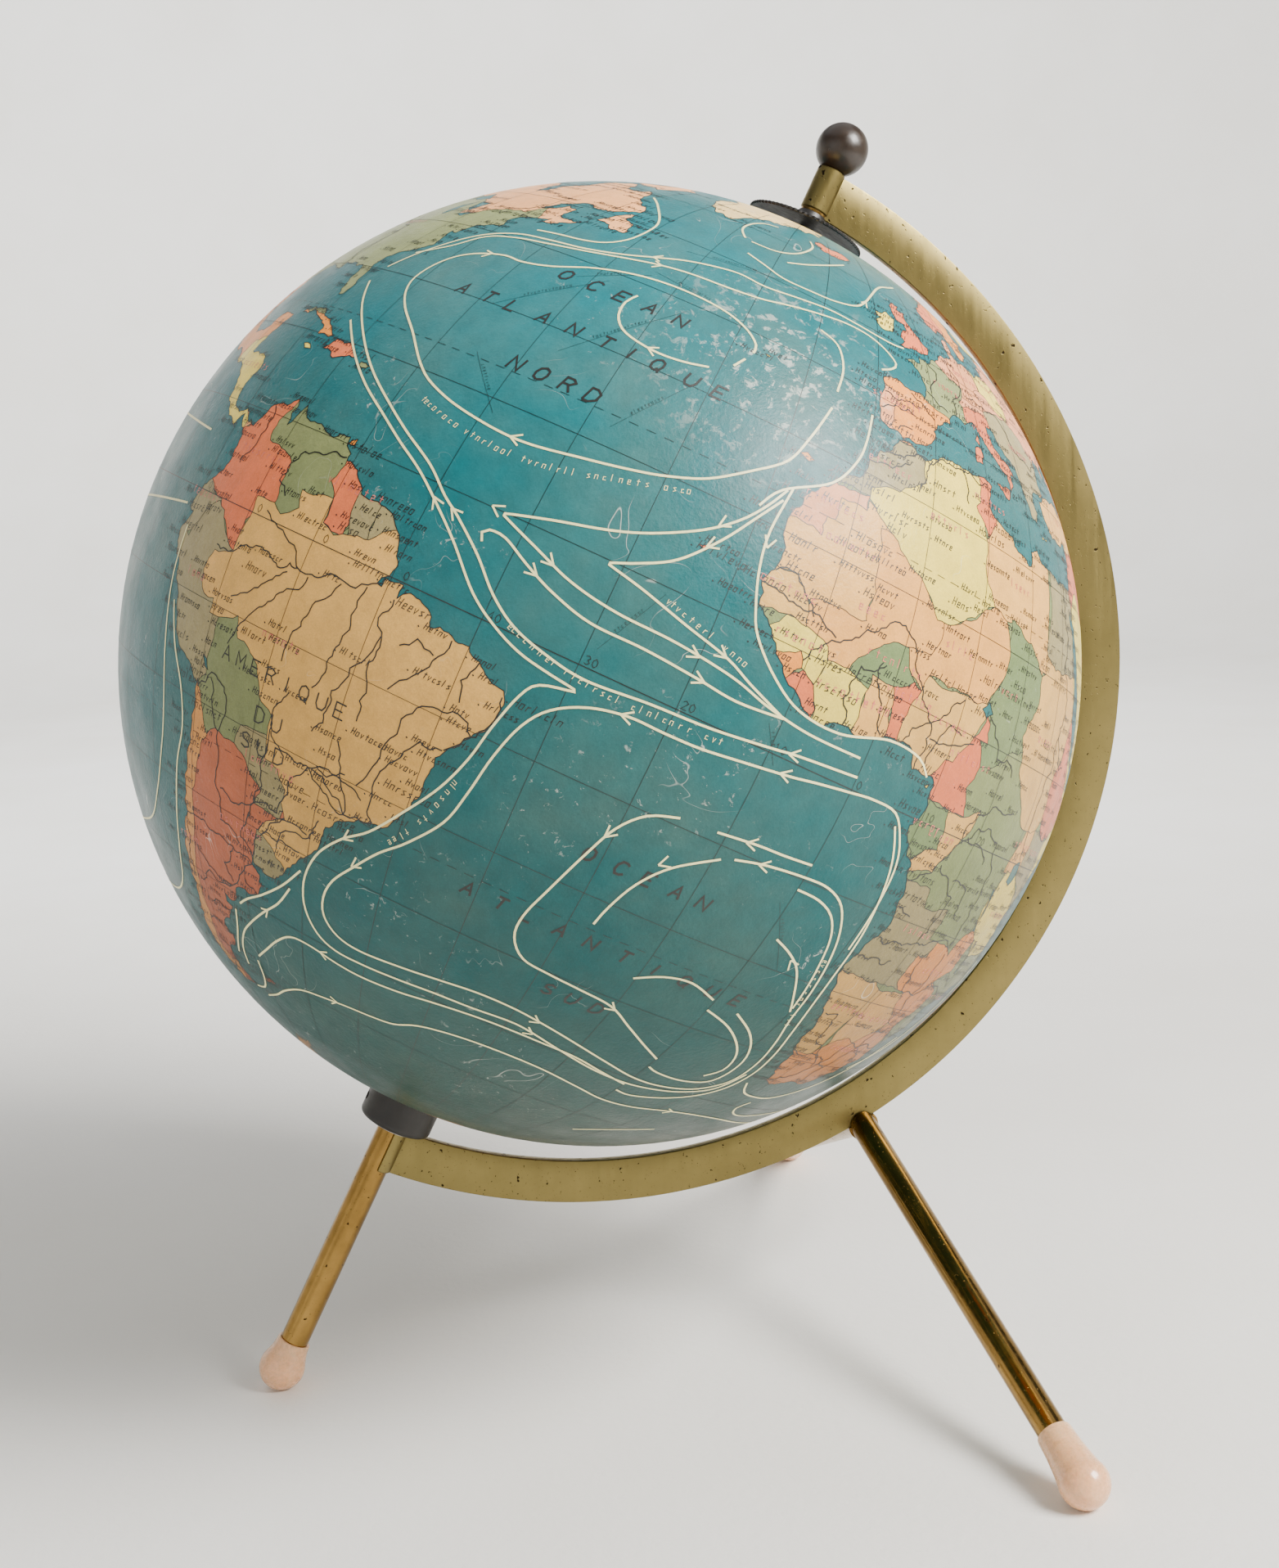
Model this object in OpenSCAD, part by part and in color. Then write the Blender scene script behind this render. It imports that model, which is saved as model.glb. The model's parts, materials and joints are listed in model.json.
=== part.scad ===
// Desk globe on a brass three-legged stand.
// A tilted C-shaped meridian band carries the globe on one steel axle. The lower
// end of the axle sits in a leg tube that runs on along the axis, and two more
// legs spread from the bow of the band, so that the globe stands on three feet.
//
// Globe frame: z along the axis to the north pole, x to the bow of the band,
// y to the back. Row frame: +Z up, origin on the table under the middle of the
// object's box. All lengths are in millimetres.

/* [Globe] */
// Outer radius of the globe over the printed map
globe_r = 125; // [110:1:140]
// Tilt of the axis away from the vertical, in degrees
tilt = 28; // [22:0.5:30]
// Longitude that faces the bow of the band at rest, in degrees east
bow_longitude = 75; // [0:1:359]
// Thickness of the printed map paper
paper_t = 0.3; // [0.2:0.05:0.5]
// Thickness of the card shell
card_t = 1.8; // [1.2:0.1:3]
// Latitude where the paper gores end under the pole caps
cap_latitude = 76; // [70:1:82]
// Number of printed gores
gore_count = 12; // [6:1:12]

/* [Axle] */
// Diameter of the steel axle
axle_d = 4; // [3.5:0.1:4.4]
// Radial clearance of everything that turns on the axle
running_gap = 0.05; // [0.02:0.01:0.1]
// Diameter of the ball on top of the axle
ball_d = 13.8; // [12:0.1:15]

/* [Meridian band] */
// Half length of the band's oval along the axis, outside
band_half_axis = 146; // [144:0.5:150]
// Half width of the band's oval towards the bow, outside
band_half_bow = 151.5; // [150:0.5:156]
// Shift of the band's centre to the south along the axis
band_shift = 1.75; // [0:0.25:2]
// Width of the band, inner edge to outer edge
band_w = 12; // [10:0.5:13]
// Thickness of each of the band's two plates
plate_t = 1.5; // [1:0.1:2]
// Bevel along the outside edges of each plate
plate_bevel = 0.35; // [0.2:0.05:0.5]
// Outer diameter of the knuckle that grips the axle at the top
knuckle_d = 7.6; // [7:0.1:9]
// Height of the knuckle's lower end above the band's inner edge
knuckle_lift = 0.9; // [0:0.1:2]

/* [Legs] */
// Outer diameter of the leg tubes
leg_d = 7.6; // [7:0.1:9]
// Wall thickness of the two spread legs
leg_wall = 1; // [0.8:0.1:1.4]
// Distance from the globe's centre to the ball of the axis foot
axis_foot_reach = 208.8; // [200:0.1:215]
// Position of a spread foot's ball towards the bow, from the globe's centre
spread_x = 82.2; // [70:0.1:95]
// Position of a spread foot's ball to either side of the band
spread_y = 117.3; // [90:0.1:118]
// Angle round the band from its bow down to the spread legs, in degrees
leg_angle = 36.3; // [30:0.1:44]
// Distance from the band's outer rim to the line of the two leg seats
lug_offset = 1.4; // [1:0.1:2]

/* [Feet] */
// Diameter of the ball of a foot
foot_d = 12.4; // [11:0.1:14]
// Height of the ball's centre above the table, less than its radius
foot_h = 5.9; // [5.2:0.1:6]
// Length from the ball's centre to the mouth of the axis foot
axis_foot_neck = 8.2; // [7:0.1:12]
// Length from the ball's centre to the mouth of a spread foot
spread_foot_neck = 14.5; // [9:0.1:18]

/* [Collar and hour dial] */
// Diameter of the dark collar under the south pole
collar_d = 20; // [16:0.5:24]
// Depth at which the collar ends, from the globe's centre
collar_end = 135; // [132:0.1:135]
// Diameter of the hour dial
dial_d = 32; // [26:1:40]
// Number of teeth round the hour dial
dial_teeth = 72; // [48:12:96]

/* [Hidden] */
$fn = 96;

axle_r = axle_d / 2;
turning_r = axle_r + running_gap;
leg_r = leg_d / 2;
foot_r = foot_d / 2;
card_r = globe_r - paper_t;
pole_hole_r = 3.6;
ferrule_flange_r = 6;
ferrule_flange_t = 0.5;
ferrule_len = 5.5;
collar_washer_t = 0.5;

// The band's outline is an oval of three arcs: one at the bow and two that run on
// to the poles. The arcs meet where both centres lie on one line at 45 degrees.
oval_diff = band_half_bow - band_half_axis;
arc_shift = oval_diff * (1 + sqrt(0.5));
bow_r = band_half_bow - arc_shift;
end_r = band_half_axis + arc_shift;
band_top = band_half_axis - band_shift;
band_bottom = band_half_axis + band_shift;

// Height of the globe's centre, and the shift that centres the object's box
centre_h = foot_h + axis_foot_reach * cos(tilt);
bow_reach = arc_shift * cos(tilt) - band_shift * sin(tilt) + bow_r;
origin_x = (bow_reach - globe_r) / 2;

// Point where the spread legs meet the band, in the globe frame
lug_half = 1.8;
leg_seat_r = bow_r + lug_offset;
seat_x = arc_shift + leg_seat_r * cos(leg_angle);
seat_z = -band_shift - leg_seat_r * sin(leg_angle);

// The same point and the foot, in the row frame seen from the globe's centre
seat_row = [
    seat_x * cos(tilt) + seat_z * sin(tilt),
    lug_half,
    seat_z * cos(tilt) - seat_x * sin(tilt)
];
foot_row = [spread_x, spread_y, foot_h - centre_h];
leg_dir = foot_row - seat_row;
leg_len = norm(leg_dir);
leg_swing = atan2(leg_dir[1], leg_dir[0]);
leg_fall = acos(leg_dir[2] / leg_len);

stud_len = 16;
tiny = 0.01;

// Puts children that are built in the globe frame at their place in the row frame
module tilted() {
    translate([-origin_x, 0, centre_h]) rotate([0, tilt, 0]) children();
}

// Puts children that are built along +z at the seat of a spread leg, side -1 or 1
module along_leg(side) {
    translate([-origin_x, 0, centre_h])
        translate([seat_row[0], side * seat_row[1], seat_row[2]])
            rotate([0, leg_fall, side * leg_swing]) children();
}

// A plain ring round z
module ring(outer_r, inner_r, low, high) {
    translate([0, 0, low]) difference() {
        cylinder(r = outer_r, h = high - low);
        translate([0, 0, -1]) cylinder(r = inner_r, h = high - low + 2);
    }
}

// Half profile of a spherical shell between two heights
module shell_profile(outer_r, inner_r, low, high) {
    intersection() {
        difference() {
            circle(r = outer_r, $fn = 360);
            circle(r = inner_r, $fn = 360);
        }
        translate([pole_hole_r, low]) square([outer_r, high - low]);
    }
}

// ---------------------------------------------------------------- the globe

module hemisphere() {
    rotate_extrude($fn = 180)
        shell_profile(card_r, card_r - card_t, tiny, globe_r);
}

module north_hemisphere() {
    color([0.62, 0.52, 0.38]) tilted() hemisphere();
}

module south_hemisphere() {
    color([0.58, 0.48, 0.35]) tilted() mirror([0, 0, 1]) hemisphere();
}

// Card hoop glued inside the joint of the two hemispheres
module joining_hoop() {
    hoop_h = 14;
    hoop_r = sqrt(pow(card_r - card_t, 2) - pow(hoop_h / 2, 2)) - 0.02;
    color([0.5, 0.42, 0.3]) tilted() ring(hoop_r, hoop_r - 1.5, -hoop_h / 2, hoop_h / 2);
}

// Printed paper gores, each with its own two seams
module map_gores() {
    gore_angle = 360 / gore_count;
    seam = 0.03;
    edge = globe_r * sin(cap_latitude);
    color([0.16, 0.55, 0.6]) tilted()
        for (i = [0 : gore_count - 1])
            rotate([0, 0, i * gore_angle - bow_longitude + seam / 2])
                rotate_extrude(angle = gore_angle - seam, $fn = 180)
                    shell_profile(globe_r, card_r, -edge, edge);
}

module pole_cap() {
    edge = globe_r * sin(cap_latitude) + tiny;
    rotate_extrude($fn = 180) shell_profile(globe_r, card_r, edge, globe_r);
}

module north_pole_cap() {
    color([0.9, 0.78, 0.6]) tilted() pole_cap();
}

module south_pole_cap() {
    color([0.85, 0.68, 0.45]) tilted() mirror([0, 0, 1]) pole_cap();
}

// Metal eyelet that lines the hole at a pole and turns on the axle
module ferrule() {
    ring(ferrule_flange_r, turning_r, globe_r, globe_r + ferrule_flange_t);
    ring(pole_hole_r, turning_r, globe_r - ferrule_len, globe_r + tiny);
}

module north_ferrule() {
    color([0.8, 0.75, 0.6]) tilted() ferrule();
}

module south_ferrule() {
    color([0.8, 0.75, 0.6]) tilted() mirror([0, 0, 1]) ferrule();
}

// ------------------------------------------------------------- the hour dial

// Thin dished disc with a toothed rim and a slightly conical hub
module hour_dial() {
    dial_r = dial_d / 2;
    low = globe_r + 2.5;
    dish = 0.6;
    thick = 0.8;
    tooth = 0.35;
    hub_top = band_top - band_w + knuckle_lift - 0.65;
    color([0.13, 0.11, 0.1]) tilted() difference() {
        union() {
            intersection() {
                rotate_extrude() polygon([
                    [0, low + dish], [6.8, low + dish], [dial_r, low],
                    [dial_r, low + thick], [6.8, low + dish + thick],
                    [0, low + dish + thick]
                ]);
                translate([0, 0, globe_r]) linear_extrude(height = 4)
                    polygon([for (i = [0 : 2 * dial_teeth - 1])
                        (dial_r - (i % 2) * tooth)
                            * [cos(i * 180 / dial_teeth), sin(i * 180 / dial_teeth)]]);
            }
            translate([0, 0, low + dish])
                cylinder(r1 = 4.8, r2 = 3.7, h = hub_top - low - dish);
        }
        translate([0, 0, globe_r - 5]) cylinder(r = turning_r, h = 20);
    }
}

// ------------------------------------------------------------------ the axle

module axle_rod() {
    color([0.7, 0.7, 0.72]) tilted()
        translate([0, 0, -160]) cylinder(r = axle_r, h = 160 + band_top + 7);
}

module knob_ball() {
    ball_r = ball_d / 2;
    sink = 0.75;
    base = band_top + 0.5;
    color([0.25, 0.2, 0.16]) tilted() difference() {
        translate([0, 0, base + ball_r - sink]) sphere(r = ball_r);
        translate([0, 0, base - ball_r]) cylinder(r = ball_r, h = ball_r);
        translate([0, 0, base - 1]) cylinder(r = axle_r, h = 7.5);
    }
}

// Springy washer that holds the hour dial where it is set
module dial_washer() {
    color([0.6, 0.5, 0.3]) tilted()
        ring(3.4, axle_r, band_top - band_w + knuckle_lift - 0.6,
             band_top - band_w + knuckle_lift);
}

// ------------------------------------------------------------------ the band

// One arc of the band, from angle a0 to a1 about its own centre
module band_arc(centre, radius, a0, a1) {
    b = plate_bevel;
    translate(centre) rotate([0, 0, a0]) rotate_extrude(angle = a1 - a0, $fn = 360)
        polygon([
            [radius - band_w, 0], [radius, 0], [radius, plate_t - b],
            [radius - b, plate_t], [radius - band_w + b, plate_t],
            [radius - band_w, plate_t - b]
        ]);
}

// Three arcs that lie in the plane of the band, with y of the drawing to the north
module band_outline() {
    band_arc([arc_shift, -band_shift, 0], bow_r, -45, 45);
    band_arc([0, -band_shift - arc_shift, 0], end_r, 45, 90);
    band_arc([0, -band_shift + arc_shift, 0], end_r, -90, -45);
}

// Front half of the band: the flat plate, half of the knuckle round the axle at the
// top and a saddle round the leg tube at the bottom
module front_half() {
    saddle_r = leg_r + 0.8;
    difference() {
        union() {
            rotate([90, 0, 0]) band_outline();
            translate([0, 0, band_top - band_w + knuckle_lift])
                cylinder(r = knuckle_d / 2, h = band_w - knuckle_lift + 0.5);
            intersection() {
                translate([0, 0, -band_bottom])
                    cylinder(r = saddle_r, h = band_w);
                translate([0.4, -10, -band_bottom - 1]) cube([20, 20, band_w + 2]);
            }
        }
        translate([-20, 0, -200]) cube([400, 20, 400]);
        translate([0, 0, -band_bottom - 1]) cylinder(r = leg_r, h = band_w + 2);
        translate([0, 0, 100]) cylinder(r = axle_r, h = 60);
        translate([-20, -20, -200]) cube([20, 40, 250]);
        translate([0, 0, band_top - band_w - 1])
            cylinder(r = knuckle_d / 2 + 0.2, h = knuckle_lift + 1);
    }
}

module band_front_plate() {
    color([0.62, 0.54, 0.32]) tilted() front_half();
}

module band_back_plate() {
    color([0.62, 0.54, 0.32]) tilted() mirror([0, 1, 0]) front_half();
}

// ------------------------------------------------- collar under the south pole

// Dark collar, dished on top to follow the globe, with a recess for the eyelet
module south_collar() {
    collar_r = collar_d / 2;
    edge_r = 1.6;
    color([0.14, 0.11, 0.1]) tilted() mirror([0, 0, 1]) difference() {
        rotate_extrude() union() {
            translate([0, globe_r - 1.5])
                square([collar_r, collar_end - globe_r + 1.5 - edge_r]);
            translate([0, collar_end - edge_r - tiny])
                square([collar_r - edge_r, edge_r + tiny]);
            translate([collar_r - edge_r, collar_end - edge_r]) circle(r = edge_r);
        }
        sphere(r = globe_r + 0.35, $fn = 180);
        cylinder(r = ferrule_flange_r + 0.6, h = globe_r + ferrule_flange_t + 0.4);
        cylinder(r = axle_r, h = collar_end + 5);
        translate([-collar_r, 0, (globe_r + collar_end) / 2]) rotate([0, 90, 0])
            cylinder(r = 1.2, h = collar_r - 1);
    }
}

// Grub screw that locks the collar on the axle, with a driver slot
module collar_screw() {
    collar_r = collar_d / 2;
    low = axle_r + tiny;
    color([0.3, 0.3, 0.3]) tilted() mirror([0, 0, 1])
        translate([-collar_r + 0.8, 0, (globe_r + collar_end) / 2])
            rotate([0, 90, 0]) difference() {
                cylinder(r = 1.2, h = collar_r - 0.8 - low);
                translate([-1.5, -0.2, -0.1]) cube([3, 0.4, 0.7]);
            }
}

// Fibre washer between the globe's lower eyelet and the collar's recess
module thrust_washer() {
    top = globe_r + ferrule_flange_t + 0.08;
    color([0.55, 0.3, 0.15]) tilted() mirror([0, 0, 1])
        ring(5.2, axle_r, top, globe_r + ferrule_flange_t + 0.4);
}

module collar_washer() {
    color([0.75, 0.74, 0.7]) tilted() mirror([0, 0, 1])
        ring(7.2, axle_r, collar_end, collar_end + collar_washer_t);
}

// ------------------------------------------------------------------ the legs

// Tube that goes on along the axis and holds the end of the axle
module axis_leg() {
    color([0.66, 0.57, 0.32]) tilted() mirror([0, 0, 1])
        ring(leg_r, axle_r, collar_end + collar_washer_t, axis_foot_reach - 3);
}

// Spread leg, cut level with the face of the lug that it is brazed to
module spread_leg(side) {
    difference() {
        along_leg(side) ring(leg_r, leg_r - leg_wall, -8, leg_len - 3);
        tilted() translate([0, -side * 50, 0])
            cube([500, 100 + 2 * lug_half, 500], center = true);
    }
}

module front_leg() {
    color([0.66, 0.57, 0.32]) spread_leg(-1);
}

module back_leg() {
    color([0.66, 0.57, 0.32]) spread_leg(1);
}

// Stud inside the top of a spread leg, brazed to the lug
module leg_stud(side) {
    difference() {
        along_leg(side) translate([0, 0, -6])
            cylinder(r = leg_r - leg_wall, h = stud_len + 6);
        tilted() translate([0, -side * 50, 0])
            cube([500, 100 + 2 * lug_half, 500], center = true);
    }
}

module front_leg_stud() {
    color([0.7, 0.62, 0.4]) leg_stud(-1);
}

module back_leg_stud() {
    color([0.7, 0.62, 0.4]) leg_stud(1);
}

// Round lug brazed on the band's outer rim, which carries both spread legs
module leg_lug() {
    color([0.62, 0.54, 0.32]) tilted() difference() {
        translate([seat_x, 0, seat_z]) rotate([90, 0, 0])
            cylinder(r = leg_r + 0.6, h = 2 * lug_half, center = true);
        translate([arc_shift, 0, -band_shift]) rotate([90, 0, 0])
            cylinder(r = bow_r, h = 20, center = true, $fn = 360);
    }
}

// ------------------------------------------------------------------ the feet

// Bulb foot built along -z from the ball's centre, with a socket for the tube
module foot_bulb(neck) {
    mouth_r = leg_r + 0.75;
    difference() {
        union() {
            sphere(r = foot_r);
            translate([0, 0, 0.35 * foot_r])
                cylinder(r1 = foot_r * sqrt(1 - 0.35 * 0.35), r2 = mouth_r,
                         h = neck - 0.35 * foot_r);
        }
        translate([0, 0, 3]) cylinder(r = leg_r, h = neck + 5);
    }
}

// Everything above the table, so that each foot gets a small flat to rest on
module above_table() {
    difference() {
        children();
        translate([0, 0, -50]) cube([600, 600, 100], center = true);
    }
}

module axis_foot() {
    color([0.9, 0.78, 0.68]) above_table() tilted()
        translate([0, 0, -axis_foot_reach]) foot_bulb(axis_foot_neck);
}

module spread_foot(side) {
    above_table() along_leg(side) translate([0, 0, leg_len]) mirror([0, 0, 1])
        foot_bulb(spread_foot_neck);
}

module front_foot() {
    color([0.9, 0.78, 0.68]) spread_foot(-1);
}

module back_foot() {
    color([0.9, 0.78, 0.68]) spread_foot(1);
}

north_hemisphere();
south_hemisphere();
joining_hoop();
map_gores();
north_pole_cap();
south_pole_cap();
north_ferrule();
south_ferrule();
hour_dial();
axle_rod();
knob_ball();
dial_washer();
band_front_plate();
band_back_plate();
south_collar();
collar_screw();
thrust_washer();
collar_washer();
axis_leg();
front_leg();
back_leg();
front_leg_stud();
back_leg_stud();
leg_lug();
axis_foot();
front_foot();
back_foot();
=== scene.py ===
"""Desktop globe on a brass three-legged stand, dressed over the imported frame."""
import json
import logging
import math
from dataclasses import dataclass, field
from enum import Enum
from random import Random

import bpy
import numpy as np
from mathutils import Matrix, Vector
from mathutils.geometry import delaunay_2d_cdt

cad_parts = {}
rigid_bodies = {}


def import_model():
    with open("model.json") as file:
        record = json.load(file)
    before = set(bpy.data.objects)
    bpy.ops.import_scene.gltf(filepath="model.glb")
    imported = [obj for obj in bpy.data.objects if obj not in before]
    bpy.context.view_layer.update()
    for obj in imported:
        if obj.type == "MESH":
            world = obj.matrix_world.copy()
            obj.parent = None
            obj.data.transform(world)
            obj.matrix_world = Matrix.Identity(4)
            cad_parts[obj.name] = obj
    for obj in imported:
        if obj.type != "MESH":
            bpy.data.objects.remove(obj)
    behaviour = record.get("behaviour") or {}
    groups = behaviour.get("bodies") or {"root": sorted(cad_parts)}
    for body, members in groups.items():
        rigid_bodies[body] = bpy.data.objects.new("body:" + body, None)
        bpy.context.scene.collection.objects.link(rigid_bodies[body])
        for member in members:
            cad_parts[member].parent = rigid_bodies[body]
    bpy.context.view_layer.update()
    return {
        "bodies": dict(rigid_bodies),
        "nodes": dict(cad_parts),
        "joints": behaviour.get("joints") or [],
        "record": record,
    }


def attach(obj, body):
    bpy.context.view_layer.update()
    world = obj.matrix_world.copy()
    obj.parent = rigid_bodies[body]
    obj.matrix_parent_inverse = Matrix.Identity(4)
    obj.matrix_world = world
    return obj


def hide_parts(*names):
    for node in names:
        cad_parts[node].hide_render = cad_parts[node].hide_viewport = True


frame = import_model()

logging.basicConfig(level=logging.INFO, format="%(name)s: %(message)s")
LOG = logging.getLogger("globe")
MM = 0.001


class Body(Enum):
    """The bodies of the frame that pieces ride on."""

    STAND = "stand"
    GLOBE = "globe"
    DIAL = "dial"


class Chart(Enum):
    """Flat charts in which the map sheets are cut."""

    GORES = "gores"
    NORTH = "north"
    SOUTH = "south"


@dataclass(frozen=True)
class GlobeAxes:
    """Place of the globe in the row frame.

    Globe frame: x to the bow of the band, y to the back, z along the axis to the north pole.
    """

    centre: Vector
    tilt: float
    bow_longitude: float = 75.2

    @classmethod
    def from_frame(cls, record: dict) -> "GlobeAxes":
        """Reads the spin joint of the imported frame.

        Args:
            record: the frame as loaded.

        Returns:
            The axes of the globe.
        """
        joint = next(j for j in record["joints"] if j["name"] == "globe_spin")
        x, _, z = joint["axis"]
        return cls(Vector(joint["pos_m"]), math.atan2(x, z))

    def matrix(self) -> Matrix:
        """Returns the matrix from the globe frame to the row frame, both in metres."""
        return Matrix.Translation(self.centre) @ Matrix.Rotation(self.tilt, 4, "Y")

    def points(self, lon: np.ndarray, lat: np.ndarray, radius: float) -> np.ndarray:
        """Places map positions on a sphere.

        Args:
            lon: longitudes in degrees east.
            lat: latitudes in degrees north.
            radius: radius of the sphere in mm.

        Returns:
            Points in the row frame, in metres.
        """
        turn, up = np.radians(lon - self.bow_longitude), np.radians(lat)
        flat = np.stack([np.cos(up) * np.cos(turn), np.cos(up) * np.sin(turn), np.sin(up)], -1)
        m = np.array(self.matrix())
        return flat * radius * MM @ m[:3, :3].T + m[:3, 3]


# ------------------------------------------------------------------ modelling


def clear_selection() -> None:
    """Deselects every object."""
    bpy.ops.object.select_all(action="DESELECT")


def activate(piece: bpy.types.Object) -> None:
    """Makes one object the only selected and active one.

    Args:
        piece: the object.
    """
    clear_selection()
    piece.select_set(True)
    bpy.context.view_layer.objects.active = piece


def new_piece(name: str, points: list, edges: list, faces: list) -> bpy.types.Object:
    """Adds a mesh object at the origin.

    Args:
        name: name of the piece.
        points: its vertices, in metres.
        edges: its loose edges.
        faces: its faces.

    Returns:
        The new object.
    """
    mesh = bpy.data.meshes.new(name)
    mesh.from_pydata(points, edges, faces)
    piece = bpy.data.objects.new(name, mesh)
    bpy.context.scene.collection.objects.link(piece)
    return piece


def smooth(piece: bpy.types.Object, angle: float = 35) -> None:
    """Shades a piece smooth apart from edges sharper than the angle, in degrees."""
    activate(piece)
    bpy.ops.object.shade_smooth_by_angle(angle=math.radians(angle))


def spin_profile(name: str, profile: list, steps: int, closed: bool, sweep: float = 360,
                 start: float = 0) -> bpy.types.Object:
    """Turns a half profile round the z axis.

    Args:
        name: name of the piece.
        profile: (radius, height) points in mm.
        steps: number of steps of the turn.
        closed: whether the profile's last point joins its first.
        sweep: angle of the turn in degrees.
        start: angle at which the turn starts, in degrees.

    Returns:
        The turned piece, with its ends filled where the turn isn't full.
    """
    a = math.radians(start)
    points = [(r * MM * math.cos(a), r * MM * math.sin(a), z * MM) for r, z in profile]
    edges = [(i, i + 1) for i in range(len(points) - 1)]
    if closed:
        edges.append((len(points) - 1, 0))
    piece = new_piece(name, points, edges, [])
    activate(piece)
    bpy.ops.object.mode_set(mode="EDIT")
    bpy.ops.mesh.select_all(action="SELECT")
    bpy.ops.mesh.spin(steps=steps, angle=-math.radians(sweep), center=(0, 0, 0), axis=(0, 0, 1))
    bpy.ops.mesh.select_all(action="SELECT")
    bpy.ops.mesh.remove_doubles(threshold=1e-6)
    if sweep < 360:
        bpy.ops.mesh.select_all(action="DESELECT")
        bpy.ops.mesh.select_mode(type="EDGE")
        bpy.ops.mesh.select_non_manifold()
        bpy.ops.mesh.fill()
        bpy.ops.mesh.select_all(action="SELECT")
    bpy.ops.mesh.normals_make_consistent(inside=False)
    bpy.ops.object.mode_set(mode="OBJECT")
    return piece


def place(piece: bpy.types.Object, matrix: Matrix) -> bpy.types.Object:
    """Moves a piece's mesh by a matrix, with its object left at the origin."""
    piece.data.transform(matrix)
    return piece


def cut(piece: bpy.types.Object, point: Vector, normal: Vector) -> None:
    """Cuts away what lies on the side of the normal and closes the cut.

    Args:
        piece: the piece to cut.
        point: a point on the plane of the cut, in metres.
        normal: the direction that is cut away.
    """
    activate(piece)
    bpy.ops.object.mode_set(mode="EDIT")
    bpy.ops.mesh.select_all(action="SELECT")
    bpy.ops.mesh.bisect(plane_co=point, plane_no=normal, use_fill=True, clear_outer=True,
                        threshold=1e-7)
    bpy.ops.mesh.select_all(action="SELECT")
    bpy.ops.mesh.normals_make_consistent(inside=False)
    bpy.ops.object.mode_set(mode="OBJECT")


def join(pieces: list) -> bpy.types.Object:
    """Joins pieces into the first of them.

    Args:
        pieces: the pieces.

    Returns:
        The first piece, which now holds them all.
    """
    clear_selection()
    for piece in pieces:
        piece.select_set(True)
    bpy.context.view_layer.objects.active = pieces[0]
    bpy.ops.object.join()
    return pieces[0]


def arc(cx: float, cz: float, r: float, a0: float, a1: float, count: int) -> list:
    """Points along an arc of a profile.

    Args:
        cx: centre of the arc, outwards, in mm.
        cz: centre of the arc, upwards, in mm.
        r: its radius in mm.
        a0: angle of its first point in degrees.
        a1: angle of its last point in degrees.
        count: number of points.

    Returns:
        (radius, height) points in mm.
    """
    angles = [math.radians(a0 + (a1 - a0) * i / (count - 1)) for i in range(count)]
    return [(cx + r * math.cos(a), cz + r * math.sin(a)) for a in angles]


def fit(piece: bpy.types.Object, body: Body, nodes: tuple = (),
        material: bpy.types.Material | None = None) -> bpy.types.Object:
    """Fixes a finished piece to its body.

    Args:
        piece: the finished piece.
        body: the body that it rides on.
        nodes: the frame's nodes that it stands for.
        material: its finish, where it isn't set yet.

    Returns:
        The piece.
    """
    if material:
        piece.data.materials.clear()
        piece.data.materials.append(material)
    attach(piece, body.value)
    if nodes:
        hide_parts(*nodes)
    LOG.info("%s: %d faces on %s", piece.name, len(piece.data.polygons), body.value)
    return piece


# ------------------------------------------------------------------- finishes


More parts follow.
